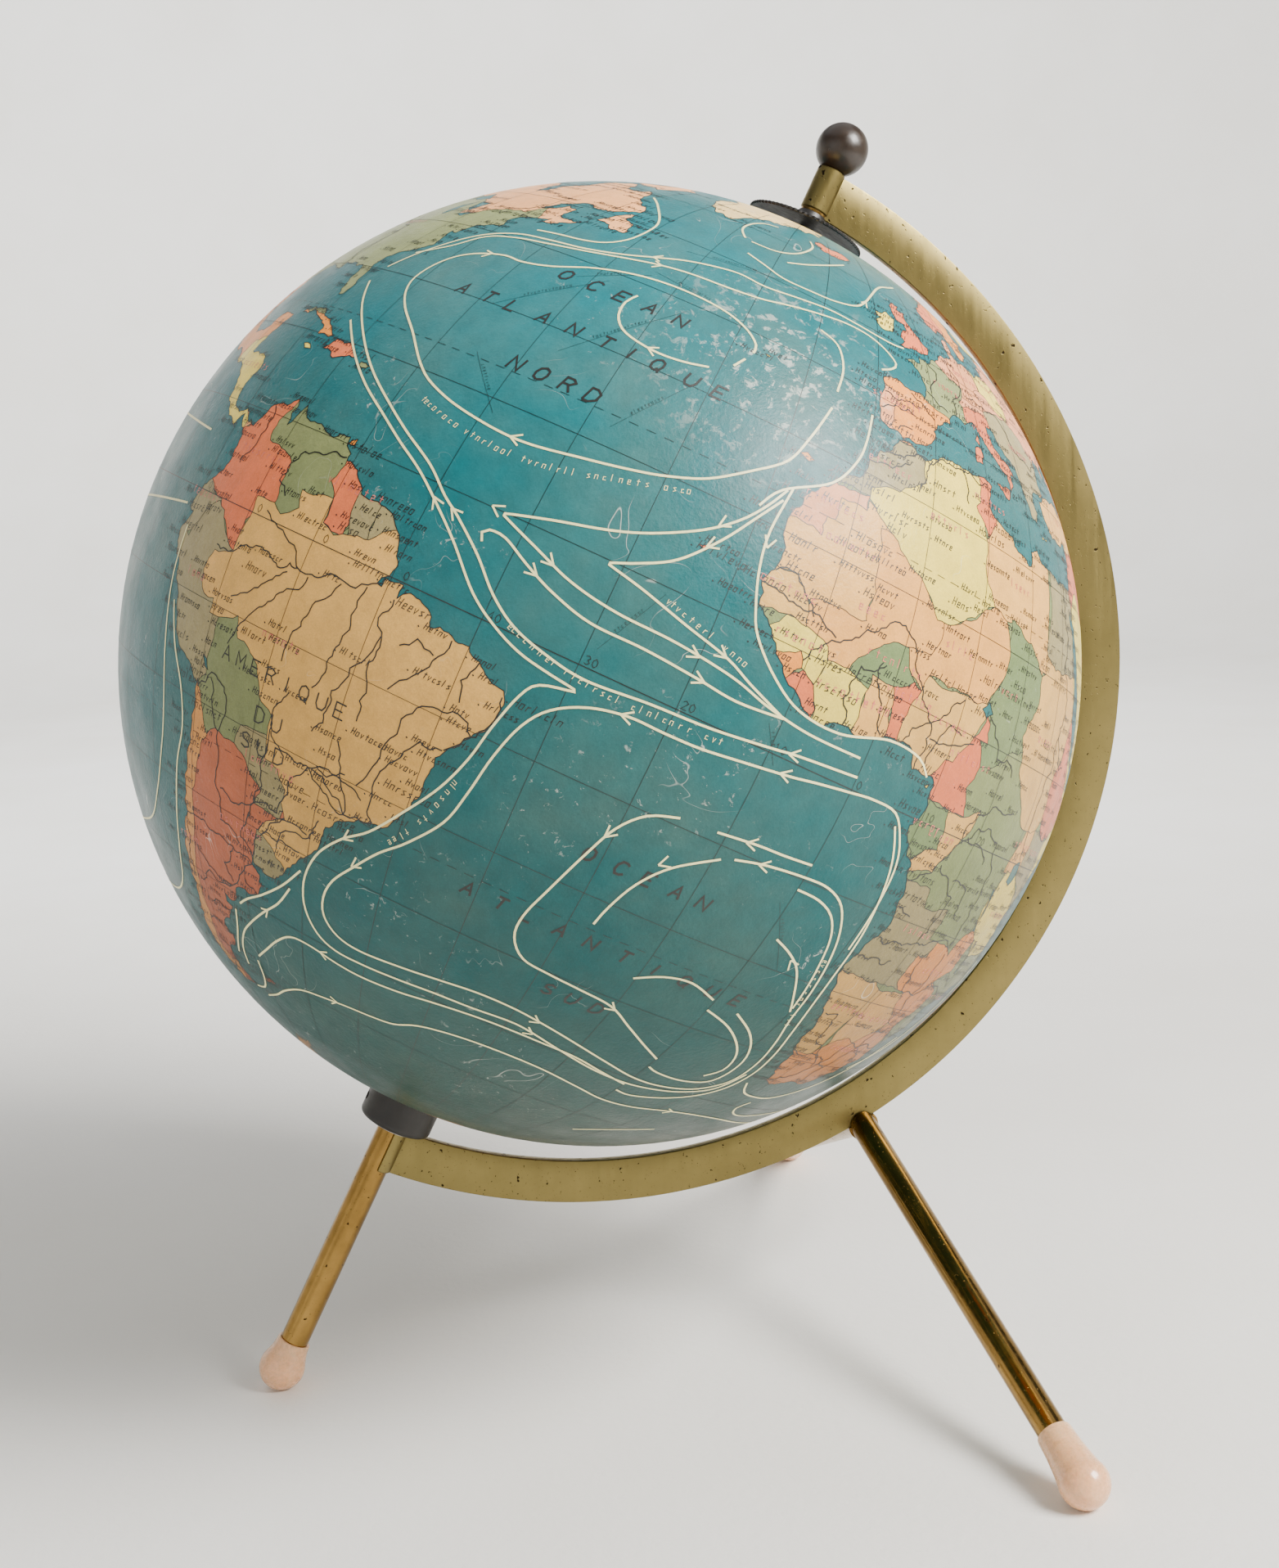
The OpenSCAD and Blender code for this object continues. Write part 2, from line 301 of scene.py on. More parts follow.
class Graph:
    """A material's node tree with short calls for the nodes that the finishes use."""

    def __init__(self, name: str) -> None:
        """Starts a material with one Principled shader.

        Args:
            name: name of the material.
        """
        self.material = bpy.data.materials.new(name)
        self.material.use_nodes = True
        self.tree = self.material.node_tree
        self.shader = self.tree.nodes["Principled BSDF"]
        self.object = self.node("ShaderNodeTexCoord").outputs["Object"]

    def node(self, kind: str, **values: object) -> bpy.types.Node:
        """Adds a node and sets its properties.

        Args:
            kind: type of the node.
            values: its properties by name.

        Returns:
            The node.
        """
        made = self.tree.nodes.new(kind)
        for key, value in values.items():
            setattr(made, key, value)
        return made

    def put(self, socket: bpy.types.NodeSocket, value: object) -> None:
        """Sets a socket to a number or colour, or links it to an output.

        Args:
            socket: the input.
            value: a number, a colour or an output.
        """
        if isinstance(value, bpy.types.NodeSocket):
            self.tree.links.new(value, socket)
        elif isinstance(value, tuple) and len(value) == 3 and socket.type == "RGBA":
            socket.default_value = (*value, 1)
        else:
            socket.default_value = value

    def set(self, **values: object) -> None:
        """Sets inputs of the shader, with underscores in place of spaces."""
        for key, value in values.items():
            self.put(self.shader.inputs[key.replace("_", " ")], value)

    def noise(self, scale: float, detail: float = 3, rough: float = 0.5, twist: float = 0,
              vector: object = None) -> bpy.types.NodeSocket:
        """Adds a noise.

        Args:
            scale: its scale per metre.
            detail: its layers.
            rough: how strong the finer layers are.
            twist: its distortion.
            vector: where it is read, or None for object coordinates.

        Returns:
            Its value.
        """
        made = self.node("ShaderNodeTexNoise")
        self.put(made.inputs["Vector"], vector or self.object)
        for key, value in (("Scale", scale), ("Detail", detail), ("Roughness", rough),
                           ("Distortion", twist)):
            made.inputs[key].default_value = value
        return made.outputs["Fac"]

    def stretch(self, x: float, y: float, z: float) -> bpy.types.NodeSocket:
        """Scales object coordinates along each axis.

        Args:
            x: scale along x.
            y: scale along y.
            z: scale along z.

        Returns:
            The scaled coordinates.
        """
        made = self.node("ShaderNodeMapping", vector_type="TEXTURE")
        self.put(made.inputs["Vector"], self.object)
        made.inputs["Scale"].default_value = (x, y, z)
        return made.outputs["Vector"]

    def band(self, value: object, low: float, high: float, out0: float = 0,
             out1: float = 1) -> bpy.types.NodeSocket:
        """Maps a value from one range to another, held at its ends.

        Args:
            value: the value.
            low: start of its range.
            high: end of its range.
            out0: result at the start.
            out1: result at the end.

        Returns:
            The mapped value.
        """
        made = self.node("ShaderNodeMapRange")
        self.put(made.inputs["Value"], value)
        for key, number in (("From Min", low), ("From Max", high), ("To Min", out0),
                            ("To Max", out1)):
            made.inputs[key].default_value = number
        return made.outputs["Result"]

    def sum(self, kind: str, a: object, b: object) -> bpy.types.NodeSocket:
        """Works out a sum of two values.

        Args:
            kind: the sum, such as MULTIPLY.
            a: first value.
            b: second value.

        Returns:
            The result.
        """
        made = self.node("ShaderNodeMath", operation=kind)
        self.put(made.inputs[0], a)
        self.put(made.inputs[1], b)
        return made.outputs["Value"]

    def mix(self, share: object, a: object, b: object, blend: str = "MIX") -> bpy.types.NodeSocket:
        """Mixes two colours.

        Args:
            share: how much of the second colour shows.
            a: first colour.
            b: second colour.
            blend: how they are mixed.

        Returns:
            The mixed colour.
        """
        made = self.node("ShaderNodeMix", data_type="RGBA", blend_type=blend)
        self.put(made.inputs["Factor"], share)
        self.put(made.inputs[6], a)
        self.put(made.inputs[7], b)
        return made.outputs[2]

    def node_grey(self, value: object) -> bpy.types.NodeSocket:
        """Makes a grey colour from a value.

        Args:
            value: the value.

        Returns:
            The grey.
        """
        made = self.node("ShaderNodeCombineColor")
        for name in ("Red", "Green", "Blue"):
            self.put(made.inputs[name], value)
        return made.outputs["Color"]

    def bump(self, height: object, depth: float, strength: float = 1) -> bpy.types.NodeSocket:
        """Makes a normal from a height.

        Args:
            height: the height.
            depth: its depth in metres.
            strength: how much it counts.

        Returns:
            The normal.
        """
        made = self.node("ShaderNodeBump")
        made.inputs["Strength"].default_value = strength
        made.inputs["Distance"].default_value = depth
        self.put(made.inputs["Height"], height)
        return made.outputs["Normal"]


def srgb(r: float, g: float, b: float) -> tuple:
    """Returns a linear colour from screen values of 0 to 255."""
    return tuple(((c / 255 + 0.055) / 1.055) ** 2.4 if c > 10 else c / 3294.6 for c in (r, g, b))


@dataclass(frozen=True)
class MapPaper:
    """Varnished map paper, faded and stained, with pale scuffs and hairline scratches, and painted shade that
    darkens it towards the bottom.
    """

    stain: tuple = srgb(150, 130, 80)
    scuff: tuple = srgb(222, 226, 214)
    # colour of the painted shade, multiplied into the print towards the bottom of the globe
    aged: tuple = (0.2, 0.19, 0.09)
    bare_spot: tuple = (0.0, 0.0, 0.0)

    def build(self, name: str = "map_paper", plain: tuple | None = None) -> bpy.types.Material:
        """Builds the paper, with its print read from the sheet's colour attribute.

        Args:
            name: name of the material.
            plain: a colour in place of the attribute.

        Returns:
            The material.
        """
        g = Graph(name)
        if plain:
            printed = g.mix(0.0, plain, plain)
        else:
            printed = g.node("ShaderNodeAttribute", attribute_name="map_colour").outputs["Color"]
        cloud = g.band(g.noise(28, 4, 0.6), 0.35, 0.7)
        colour = g.mix(g.sum("MULTIPLY", cloud, 0.16), printed, self.stain)
        mottle = g.band(g.noise(170, 5, 0.65), 0.3, 0.7, 0.86, 1.1)
        grain = g.band(g.noise(2600, 3, 0.7), 0.3, 0.7, 0.91, 1.08)
        colour = g.mix(1.0, colour, g.node_grey(g.sum("MULTIPLY", mottle, grain)), "MULTIPLY")
        # painted shade: the print darkens towards the bottom by height, with a little noise along its edge
        height = g.node("ShaderNodeSeparateXYZ")
        g.put(height.inputs[0], g.object)
        aged = g.sum("ADD", height.outputs["Z"], g.band(g.noise(14, 3, 0.6), 0.3, 0.7, -0.012, 0.012))
        colour = g.mix(g.sum("POWER", g.band(aged, 0.3, 0.065), 1.35), colour, self.aged, "MULTIPLY")
        line = g.sum("ABSOLUTE", g.sum("SUBTRACT", g.noise(55, 1.5, 0.5, 1.2), 0.5), 0.0)
        scratch = g.sum("MULTIPLY", g.band(line, 0.0, 0.0032, 1, 0),
                        g.band(g.noise(38, 2, 0.5), 0.56, 0.66))
        patch = g.sum("MULTIPLY", g.band(g.noise(420, 4, 0.75, 0.6), 0.62, 0.7),
                      g.band(g.noise(22, 2), 0.55, 0.68))
        near = g.node("ShaderNodeVectorMath", operation="DISTANCE")
        g.put(near.inputs[0], g.object)
        near.inputs[1].default_value = self.bare_spot
        rubbed = g.sum("MULTIPLY", g.band(near.outputs["Value"], 0.008, 0.036, 1, 0),
                       g.band(g.noise(330, 4, 0.7, 0.5), 0.55, 0.63))
        worn = g.sum("MAXIMUM", g.sum("MULTIPLY", scratch, 0.5), g.sum("MULTIPLY", patch, 0.45))
        worn = g.sum("MAXIMUM", worn, g.sum("MULTIPLY", rubbed, 0.5))
        g.set(Base_Color=g.mix(worn, colour, self.scuff), Specular_IOR_Level=0.25,
              Roughness=g.band(g.noise(90, 4, 0.6), 0.3, 0.7, 0.3, 0.46),
              Coat_Weight=0.1, Coat_Roughness=0.28,
              Normal=g.bump(g.sum("ADD", g.noise(900, 4, 0.6), g.sum("MULTIPLY", worn, 0.6)),
                            0.00012))
        return g.material


@dataclass(frozen=True)
class Ink:
    """Printing ink in one colour that has soaked unevenly into the paper."""

    colour: tuple
    faded: tuple

    def build(self, name: str) -> bpy.types.Material:
        """Builds the ink.

        Args:
            name: name of the material.

        Returns:
            The material.
        """
        g = Graph(name)
        share = g.band(g.noise(700, 3, 0.7), 0.35, 0.75)
        g.set(Base_Color=g.mix(share, self.colour, self.faded), Roughness=0.45,
              Coat_Weight=0.2, Coat_Roughness=0.28, Normal=g.bump(g.noise(1500, 2), 0.00004))
        return g.material


@dataclass(frozen=True)
class Brass:
    """Aged brass with a bright and a dull tone, dark spots and drawing lines."""

    bright: tuple
    dull: tuple
    spots: tuple
    rough: float
    spot_share: float

    def build(self, name: str) -> bpy.types.Material:
        """Builds the brass.

        Args:
            name: name of the material.

        Returns:
            The material.
        """
        g = Graph(name)
        lines = g.noise(500, 3, 0.6, 0, g.stretch(1, 1, 14))
        cloud = g.sum("ADD", g.noise(45, 4, 0.6), g.sum("MULTIPLY", g.noise(260, 4, 0.7), 0.35))
        colour = g.mix(g.band(cloud, 0.35, 1.0), self.bright, self.dull)
        pits = g.band(g.noise(620, 2, 0.5), self.spot_share, self.spot_share + 0.05)
        freckle = g.band(g.noise(1900, 2, 0.5), self.spot_share + 0.01, self.spot_share + 0.06)
        dark = g.sum("MAXIMUM", pits, g.sum("MULTIPLY", freckle, 0.7))
        shine = g.band(lines, 0.3, 0.7, self.rough - 0.05, self.rough + 0.09)
        g.set(Base_Color=g.mix(dark, colour, self.spots), Metallic=1.0,
              Roughness=g.sum("ADD", shine, g.sum("MULTIPLY", dark, 0.25)),
              Normal=g.bump(g.sum("SUBTRACT", g.sum("MULTIPLY", lines, 0.25), dark), 0.00006))
        return g.material


@dataclass(frozen=True)
class Moulding:
    """Moulded plastic or bakelite with a mottled tone and fine handling marks."""

    base: tuple
    fleck: tuple
    rough: float
    coat: float = 0.0
    glow: float = 0.0

    def build(self, name: str) -> bpy.types.Material:
        """Builds the plastic.

        Args:
            name: name of the material.

        Returns:
            The material.
        """
        g = Graph(name)
        cloud = g.band(g.noise(240, 5, 0.65, 0.8), 0.4, 0.7)
        fine = g.band(g.noise(1400, 3, 0.6), 0.35, 0.75, 0.85, 1.1)
        colour = g.mix(1.0, g.mix(cloud, self.base, self.fleck), g.node_grey(fine), "MULTIPLY")
        g.set(Base_Color=colour, Coat_Weight=self.coat, Coat_Roughness=0.08,
              Roughness=g.band(g.noise(500, 4, 0.7), 0.3, 0.7, self.rough - 0.06,
                               self.rough + 0.1),
              Normal=g.bump(g.noise(800, 3, 0.6), 0.00003))
        if self.glow:
            g.set(Subsurface_Weight=self.glow, Subsurface_Scale=0.004,
                  Subsurface_Radius=(1.0, 0.6, 0.4))
        return g.material


# -------------------------------------------------------------------- the map

LANDS = {
    "south_america": ("SA",
     "-77.5,8.5 -76.5,8 -75.5,10.5 -74.8,11 -73,11.3 -71.7,12.4 -71.3,11.6 -71.6,10.7 -71.2,9.4 -70.6,10.6 "
     "-70.2,11.6 -70,12.1 -69.6,11.5 -68.2,10.6 -66,10.6 -64.6,10.1 -63,10.7 -62,10.7 -61.8,9.8 -60.8,9.2 "
     "-60.8,8.4 -59.8,8.3 -58.5,7.3 -57.2,6 -55,6 -54,5.8 -52.6,5.2 -51.6,4.2 -51,3.5 -50.5,2 -49.9,1.2 "
     "-50.3,0 -51.2,-1.1 -50.6,-1.2 -50.5,-.3 -48.5,-.2 -48.6,-1.6 -48.2,-1 -47.5,-.6 -46,-1 -44.6,-1.8 "
     "-44.3,-2.8 -43.4,-2.3 -41.5,-2.9 -40,-2.8 -38.5,-3.7 -37.2,-4.7 -36,-5.1 -35.3,-5.2 -34.9,-6.8 "
     "-34.8,-8.2 -35.4,-9.4 -36.5,-10.6 -37.3,-11.8 -38.4,-13 -39,-13.8 -39,-15.5 -39.1,-17.6 -39.7,-19 "
     "-40.2,-20.5 -41,-21.8 -41.9,-22.9 -43.3,-23 -44.7,-23.2 -45.8,-23.9 -47,-24.4 -48.3,-25.7 "
     "-48.6,-27.5 -48.8,-28.6 -50.2,-30.1 -51.5,-31.5 -52.2,-32.3 -53.4,-33.8 -54.6,-34.8 -56,-34.9 "
     "-57.8,-34.4 -58.4,-33.9 -58.5,-34.5 -57.2,-35.4 -57.3,-36.3 -56.7,-36.6 -57.6,-38.1 -59.5,-38.8 "
     "-62,-39 -62.3,-40.5 -63,-41.2 -65,-40.9 -65,-42 -63.7,-42.3 -64.5,-43 -65.3,-44.5 -66.9,-45.2 "
     "-67.5,-46.2 -66,-47.2 -65.9,-48 -67.6,-49.3 -68.9,-50.3 -69,-51.6 -68.3,-52.4 -70,-52.8 -70.9,-53.8 "
     "-72,-54 -73.5,-53 -74.5,-52 -75.2,-50.5 -75.5,-48.5 -74.3,-46.8 -75.3,-46.5 -73.8,-44.5 -73,-42.5 "
     "-73.9,-41.5 -73.4,-39.5 -73.5,-37.2 -72.7,-35.8 -71.7,-33.5 -71.5,-30.5 -71,-27.5 -70.5,-25 "
     "-70.4,-23 -70.1,-21 -70.3,-18.4 -71.5,-17.4 -73.5,-16.2 -75.3,-15.3 -76.3,-13.8 -77.2,-12 -78.2,-10 "
     "-79.5,-7.5 -81.1,-6 -81.3,-4.4 -80.4,-3.4 -79.9,-2.5 -81,-2.2 -80.6,-.9 -80,.5 -78.8,1.5 -77.5,2.7 "
     "-77.3,4.5 -77.5,6.5 -78.3,8"),
    "tierra_del_fuego": ("SA",
     "-68.6,-52.7 -68,-53.3 -66.5,-54.5 -65.2,-54.7 -67,-55 -69,-55.5 -71.5,-54.7 -70.5,-53.7 -70,-53"),
    "north_america": ("CA",
     "-79.5,9.5 -81,8.8 -82.2,9.2 -83.5,10.5 -83.7,12.5 -83.4,14.8 -85,15.9 -87.5,15.8 -88.8,15.8 "
     "-88.2,17.5 -87.5,19.5 -86.8,21.4 -88.5,21.5 -90.3,21.1 -90.7,19.4 -92,18.6 -94.5,18.2 -96,19.2 "
     "-97.3,20.8 -97.8,22.5 -97.5,25 -97.2,27.5 -95.5,28.8 -94,29.6 -91.8,29.5 -90.3,29.1 -89.2,29.2 "
     "-89.5,30.2 -87,30.4 -85.2,29.7 -84,30.1 -82.8,29 -82.7,27.7 -81.8,26 -81,25.2 -80.3,25.4 -80,26.8 "
     "-80.6,28.4 -81.4,30.4 -81,32 -79,33.4 -77.9,33.9 -76.5,34.7 -75.6,35.3 -76,36.9 -76.3,38.5 "
     "-75.2,38.2 -74.8,39.1 -74,40.4 -71.8,41.2 -70,41.7 -70.8,42.7 -70,43.8 -67.2,44.6 -65,45.3 "
     "-66.2,43.8 -64.5,44.2 -61.5,45.5 -60.2,46.4 -61.5,45.9 -64,46 -64.9,47 -64.4,48.6 -66.5,49.1 -70,47 "
     "-66.5,50.2 -62,50.2 -58.5,51.3 -55.7,52.5 -56.5,54 -59.5,55.5 -61.7,57.5 -64.3,60.2 -67,58.6 "
     "-69.8,59.8 -71.5,61.5 -75.5,62.3 -78,61 -77.5,58.5 -76.6,56.5 -79.5,54.5 -79,52 -80.5,51.3 "
     "-82.3,53.5 -82.4,55.2 -87,56 -90,57.2 -93,58.8 -94.6,60.5 -93,62.3 -90,64 -87,66 -84,69.7 -81.5,68 "
     "-86,67.5 -88,69 -92,69.5 -94,72 -96,68.5 -101,68 -108,68 -115,68 -116,69.5 -122,70 -127,70.3 "
     "-130,69.8 -136,69 -141,69.7 -150,70.8 -156.6,71.3 -162,70 -166.5,68.3 -162,66.5 -168,65.6 -165,64.4 "
     "-161,64.5 -161,63.6 -166,61.5 -165,60 -162,58.8 -157.5,58.7 -158.5,56.5 -164,54.7 -160,55.2 -154,58 "
     "-152,60.5 -148,60 -144,60 -140,59.7 -136.5,58 -133,55.5 -130.3,54 -127.5,51 -123.5,49 -124.7,48.3 "
     "-124,46 -124.4,42.8 -123.8,39.5 -122.4,37 -120.6,34.6 -118.4,34 -117,32.5 -115.8,30 -114,27.5 "
     "-112.2,25.8 -110,23 -110.5,24.5 -112.5,28 -114.8,31.7 -113,31 -111,28.2 -109,25.8 -106.5,23.5 "
     "-105.5,20.8 -105,19 -101.5,17.6 -98,16.2 -95,16 -93,15.4 -91,14 -87.7,13 -87,12.6 -85.7,10.9 "
     "-85.5,9.9 -83.7,8.7 -82.8,8.1 -80.5,7.3 -80,8.5 -79.5,8.9 -78,7.3 -77,8.2"),
    "baffin": ("CA",
     "-64.5,63.3 -66,62 -71,62.8 -77.5,64.5 -73,66 -72.5,68 -78,70 -84,70.5 -89.5,71.5 -88,73.6 -80,73.5 "
     "-76,72.8 -70,70.8 -67,69 -61.5,66.7 -64,65"),
    "victoria_island": ("CA",
     "-105,69 -115,69.3 -118,71 -124,74 -115,74 -107,73 -102,70"),
    "ellesmere": ("CA",
     "-80,74.7 -92,75 -100,76 -95,78 -98,80 -90,81.5 -75,83 -62,82.3 -75,79 -79,76.5"),
    "newfoundland": ("CA",
     "-59.2,47.8 -58.2,49 -57,50.8 -55.5,51.5 -56,50 -53.6,49.2 -52.8,47.3 -54,46.9 -55.8,46.9 -56.5,47.6"),
    "greenland": ("GR",
     "-43.8,59.9 -48,60.8 -51,63.5 -53.5,66.8 -51,69.5 -54.5,70.8 -56,73.5 -60,75.8 -68,76.2 -72,78.3 "
     "-65,80.5 -60,82 -45,82.7 -30,83.5 -20,81.7 -12,81.3 -18,79 -20,76 -20,74 -24,71.5 -22,70.2 -27,68.4 "
     "-34,66.4 -38,65.6 -41,63.5 -42.5,61"),
    "iceland": ("s",
     "-24,65.6 -22,66.4 -20.5,65.7 -18,66.1 -16,66.4 -14.5,65.8 -13.6,65 -15,64.3 -18,63.5 -20.5,63.6 "
     "-22.6,63.9 -22,64.4 -24,64.9"),
    "cuba": ("o",
     "-84.9,21.9 -83,23 -80.5,23.1 -77.5,21.9 -74.2,20.2 -77.5,19.9 -77.3,20.6 -80.5,21.9 -82.5,22.6"),
    "hispaniola": ("s",
     "-74.4,18.5 -73.2,19.9 -70,19.7 -68.4,18.6 -70.5,18.2 -71.7,17.7 -72.5,18.3"),
    "jamaica": ("y",
     "-78.3,18.3 -77,18.4 -76.3,17.9 -77.5,17.8"),
    "puerto_rico": ("g",
     "-67.2,18.4 -65.6,18.3 -66,17.9 -67.2,18"),
    "trinidad": ("o",
     "-61.8,10.1 -61,10.8 -61,10.1"),
    "falklands": ("o",
     "-61,-51.8 -59,-51.3 -57.8,-51.8 -60,-52.3"),
    "britain": ("s",
     "-5.5,50.1 -4.2,51.2 -5.1,51.8 -4.2,53.2 -3,53.7 -3.5,54.8 -5,54.8 -5.7,56.3 -5.8,57.6 -5,58.6 "
     "-3.1,58.6 -4,57.6 -2,57.6 -2.5,56.2 -1.5,55 -.2,53.8 .4,53 1.7,52.6 1,51.3 -1.2,50.7 -3.5,50.3"),
    "ireland": ("y",
     "-6.2,53.4 -6.4,52.2 -9.5,51.5 -10.2,52.2 -9,53.2 -10,54.2 -8.3,54.6 -7.3,55.3 -5.7,54.6"),
    "eurasia": ("RU",
     "-5.4,36.1 -6.3,36.8 -8.9,37 -9.4,38.8 -8.8,41.5 -9.1,43.1 -7.8,43.7 -3.8,43.5 -1.6,43.5 -1.2,45.5 "
     "-2.4,47.3 -4.6,48.1 -3,48.8 -1.6,48.7 -1.7,49.7 .2,49.6 1.6,50.8 3.5,51.5 4.8,53 7,53.5 8.6,53.9 "
     "8.2,55.6 8.4,57.1 10.5,57.7 10.3,56.4 9.8,55 11,54 14,54.1 18.5,54.7 21,55.3 21.2,57 23.5,57 24,58.3 "
     "23.5,59.2 28,59.6 29.5,60 25,60.2 22.5,60 21.3,61.5 22,63 25.4,65 22.3,65.8 21,64.3 17.5,62 "
     "17.2,60.7 19,59.8 16.5,58.5 16.3,56.7 14.3,55.5 12.9,55.5 11.3,58.8 10.5,59.4 8,58.1 5.6,58.8 5,61.5 "
     "8,63.5 12,65.5 14.5,68 18.5,69.8 25,71 31,70.3 33,69.4 41,67.5 40,66.3 34,66.7 35,64.4 38,64 41,66 "
     "44,66 44,68.5 50,68 55,68.6 60,69 67,69 67,72.5 73,71.5 73,68 76,72.5 81,72 87,75 98,75.6 104,77.6 "
     "113,74 120,73 130,71 140,72.5 152,71 162,69.5 170,70 180,69.3 180,65 177,62.5 170,60 163,59.8 162,57 "
     "156.7,51 156,57 163,62 155,59.2 143,59.3 135,54.7 141,52.5 140,48 135,43.5 130.5,42.5 127.5,39.8 "
     "129.4,37 129,35.2 126.5,34.5 126.5,37.5 125,38 124.5,40 121.5,39 121,40.8 118,39 120,37.3 122.5,37 "
     "119.3,35 121.9,31.8 121.5,28.5 119,25.5 116.5,22.9 110.5,21.2 108,21.6 105.8,19 109.2,13 108,11 "
     "105,8.7 104.8,10.5 102.5,12 101,12.7 100,13.4 99.2,10 100.5,7.2 103.5,4 104.2,1.3 101.5,3 100.3,6 "
     "98.3,8 98.6,11.5 97.7,16 95.3,15.8 94.3,18.5 92,21.5 90.5,22.5 87,21.3 85,19.5 82.2,16.6 80.2,15.5 "
     "80,12 79,10.3 77.6,8.1 76.3,10 74.8,13 73,17 72.7,20 72.8,21.3 70.5,20.8 69,22.3 67,24.8 61.6,25.2 "
     "57.3,25.7 56.5,27 52.5,27.5 50.8,29 48.7,30.3 48,29.5 50,26.7 51.5,25.5 51.3,24.4 54,24.1 56.3,26.2 "
     "57,24 59.8,22.5 57.8,19 55,17.2 52,15.6 48.5,14 45,12.8 43.5,12.7 42.8,15.5 41,19 39,21.3 36.5,25.8 "
     "34.8,28.2 35,29.5 34.3,27.8 32.6,29.9 32.5,31.2 34.3,31.4 35.8,34.5 36,36.7 33,36.1 30.5,36.5 "
     "28,36.7 26.5,38.5 26.2,40 29.5,41.2 31.5,41.4 35,42 38.5,41 41.5,41.6 38.5,44.2 37,45.1 39,47.2 "
     "35,46.3 33.5,44.5 32.7,46 30.7,46.4 28.7,44 27.8,42.5 28.8,41.2 26.2,40.9 23.8,40.3 23,39 24,37.8 "
     "23,36.5 21.5,37 20.5,38.8 19.4,41 19,42.2 15.8,43.5 14,45.3 12.4,45.3 12.4,44 14,42.5 16.2,41.7 "
     "18.5,40.2 16.8,40.5 17,39 16,38 15.6,40 13,41.2 10.5,43 8.7,44.4 6.5,43.2 4,43.5 3.1,42.5 3.2,41.8 "
     ".5,40.7 -.3,39.5 .1,38.7 -.8,37.6 -2.2,36.8 -4.5,36.7"),
    "sicily": ("s",
     "12.5,38 15.6,38.2 15.1,36.7"),
    "sardinia": ("s",
     "8.2,39 8.3,40.9 9.6,41.2 9.6,39.2"),
    "corsica": ("g",
     "8.6,42 9.4,43 9.4,41.5"),
    "crete": ("y",
     "23.6,35.4 26.2,35.2 24.5,34.9"),
    "cyprus": ("o",
     "32.3,35 34.5,35.6 33.5,34.6"),
    "svalbard": ("s",
     "12,78.5 20,80 27,80 18,76.7"),
    "novaya_zemlya": ("RU",
     "52,71 57,74 68,76.8 62,75.5 57,70.8"),
    "africa": ("AF",
     "-5.9,35.8 -2,35.1 1,36.6 5,36.8 10,37.3 11,37 10.2,34.3 11.2,33.3 15.2,32.3 15.5,31.5 19,30.3 "
     "20.1,31 20.1,32.3 21.7,32.9 25,31.6 29,30.9 31,31.5 32.5,31.3 32.5,30 34,27.2 35.6,24 37.2,21 "
     "37.4,18.8 39.5,15.5 43.2,12.3 43.3,11.5 44.5,10.4 51.2,11.9 50.8,9.2 48,4.5 44.5,1.5 41.6,-1.7 "
     "39.5,-4.5 38.8,-6.3 39.6,-8.2 40.5,-10.7 40.7,-15 36.8,-17.9 34.8,-19.9 35.5,-22.5 32.8,-25.5 "
     "32.7,-28 30.5,-31 28,-32.9 25.7,-33.9 22,-34.1 20,-34.8 18.4,-34.1 18.2,-32.7 17,-29.3 15.2,-26.8 "
     "14.5,-22.8 13,-20.3 11.8,-18 12,-15.5 13.7,-11.5 13.2,-9 12.3,-6 11.8,-4.6 9.5,-2.3 8.8,-.8 9.7,.5 "
     "9.5,3 9.5,4 8.7,4.5 7,4.4 5.9,4.3 4.7,6.2 3.4,6.4 1.2,6.1 -.5,5.4 -2.1,4.8 -4.5,5.2 -7.5,4.4 "
     "-9.2,5.7 -11.4,6.9 -13.3,8.7 -13.7,9.6 -15,10.9 -16.7,12.2 -16.7,13.5 -17.4,14.7 -16.5,16 -16.2,18.5 "
     "-17,20.9 -16,23.7 -14.5,26.2 -12.9,27.9 -10.5,29 -9.7,30.6 -9.7,31.7 -8.5,33.3 -6.8,34.1"),
    "madagascar": ("s",
     "49.3,-12.1 50.4,-15.5 49.3,-18 47.3,-24.8 45,-25.5 43.5,-22.5 44.4,-19.5 44.3,-16.3 47,-15.3"),
    "canaries": ("o",
     "-18,28.5 -17.2,28.9 -16.2,28.4 -16.8,28"),
    "lanzarote": ("o",
     "-14.4,28.1 -13.4,29.2 -14,28.2"),
    "cape_verde": ("s",
     "-24.4,15 -23.6,15.3 -23.6,14.8"),
    "azores": ("y",
     "-25.8,37.9 -25,37.9 -25.3,37.6"),
    "fernando_po": ("y",
     "8.4,3.3 8.9,3.7 8.8,3.2"),
    "australia": ("o",
     "113.5,-22 114,-26.5 115,-31 115,-34.3 118,-35 123.5,-33.9 126,-32.3 131,-31.5 134.5,-33.2 "
     "137.5,-33.5 138,-35.5 140.5,-38 143.5,-38.8 147,-38.5 150,-37.3 151.3,-33.5 153.2,-30 153,-26 "
     "150.8,-23.2 147,-19.5 145.5,-16 143.5,-14 142.5,-10.9 141.6,-14 140,-17.6 136.5,-15.7 136.7,-12 "
     "132.5,-11.5 130.3,-12.8 128.5,-15 125.5,-14.3 122.2,-18 118.5,-20.4"),
    "tasmania": ("o",
     "144.8,-41 148.2,-41 147.5,-43.5 145.5,-43"),
    "north_island": ("p",
     "172.7,-34.5 175.5,-36.8 178.3,-37.8 176.8,-40 175,-41.5 174,-39.2 174.8,-37"),
    "south_island": ("p",
     "172.7,-40.6 174.2,-41.7 171,-44.5 169,-46.6 166.5,-45.8 170,-43"),
    "new_guinea": ("g",
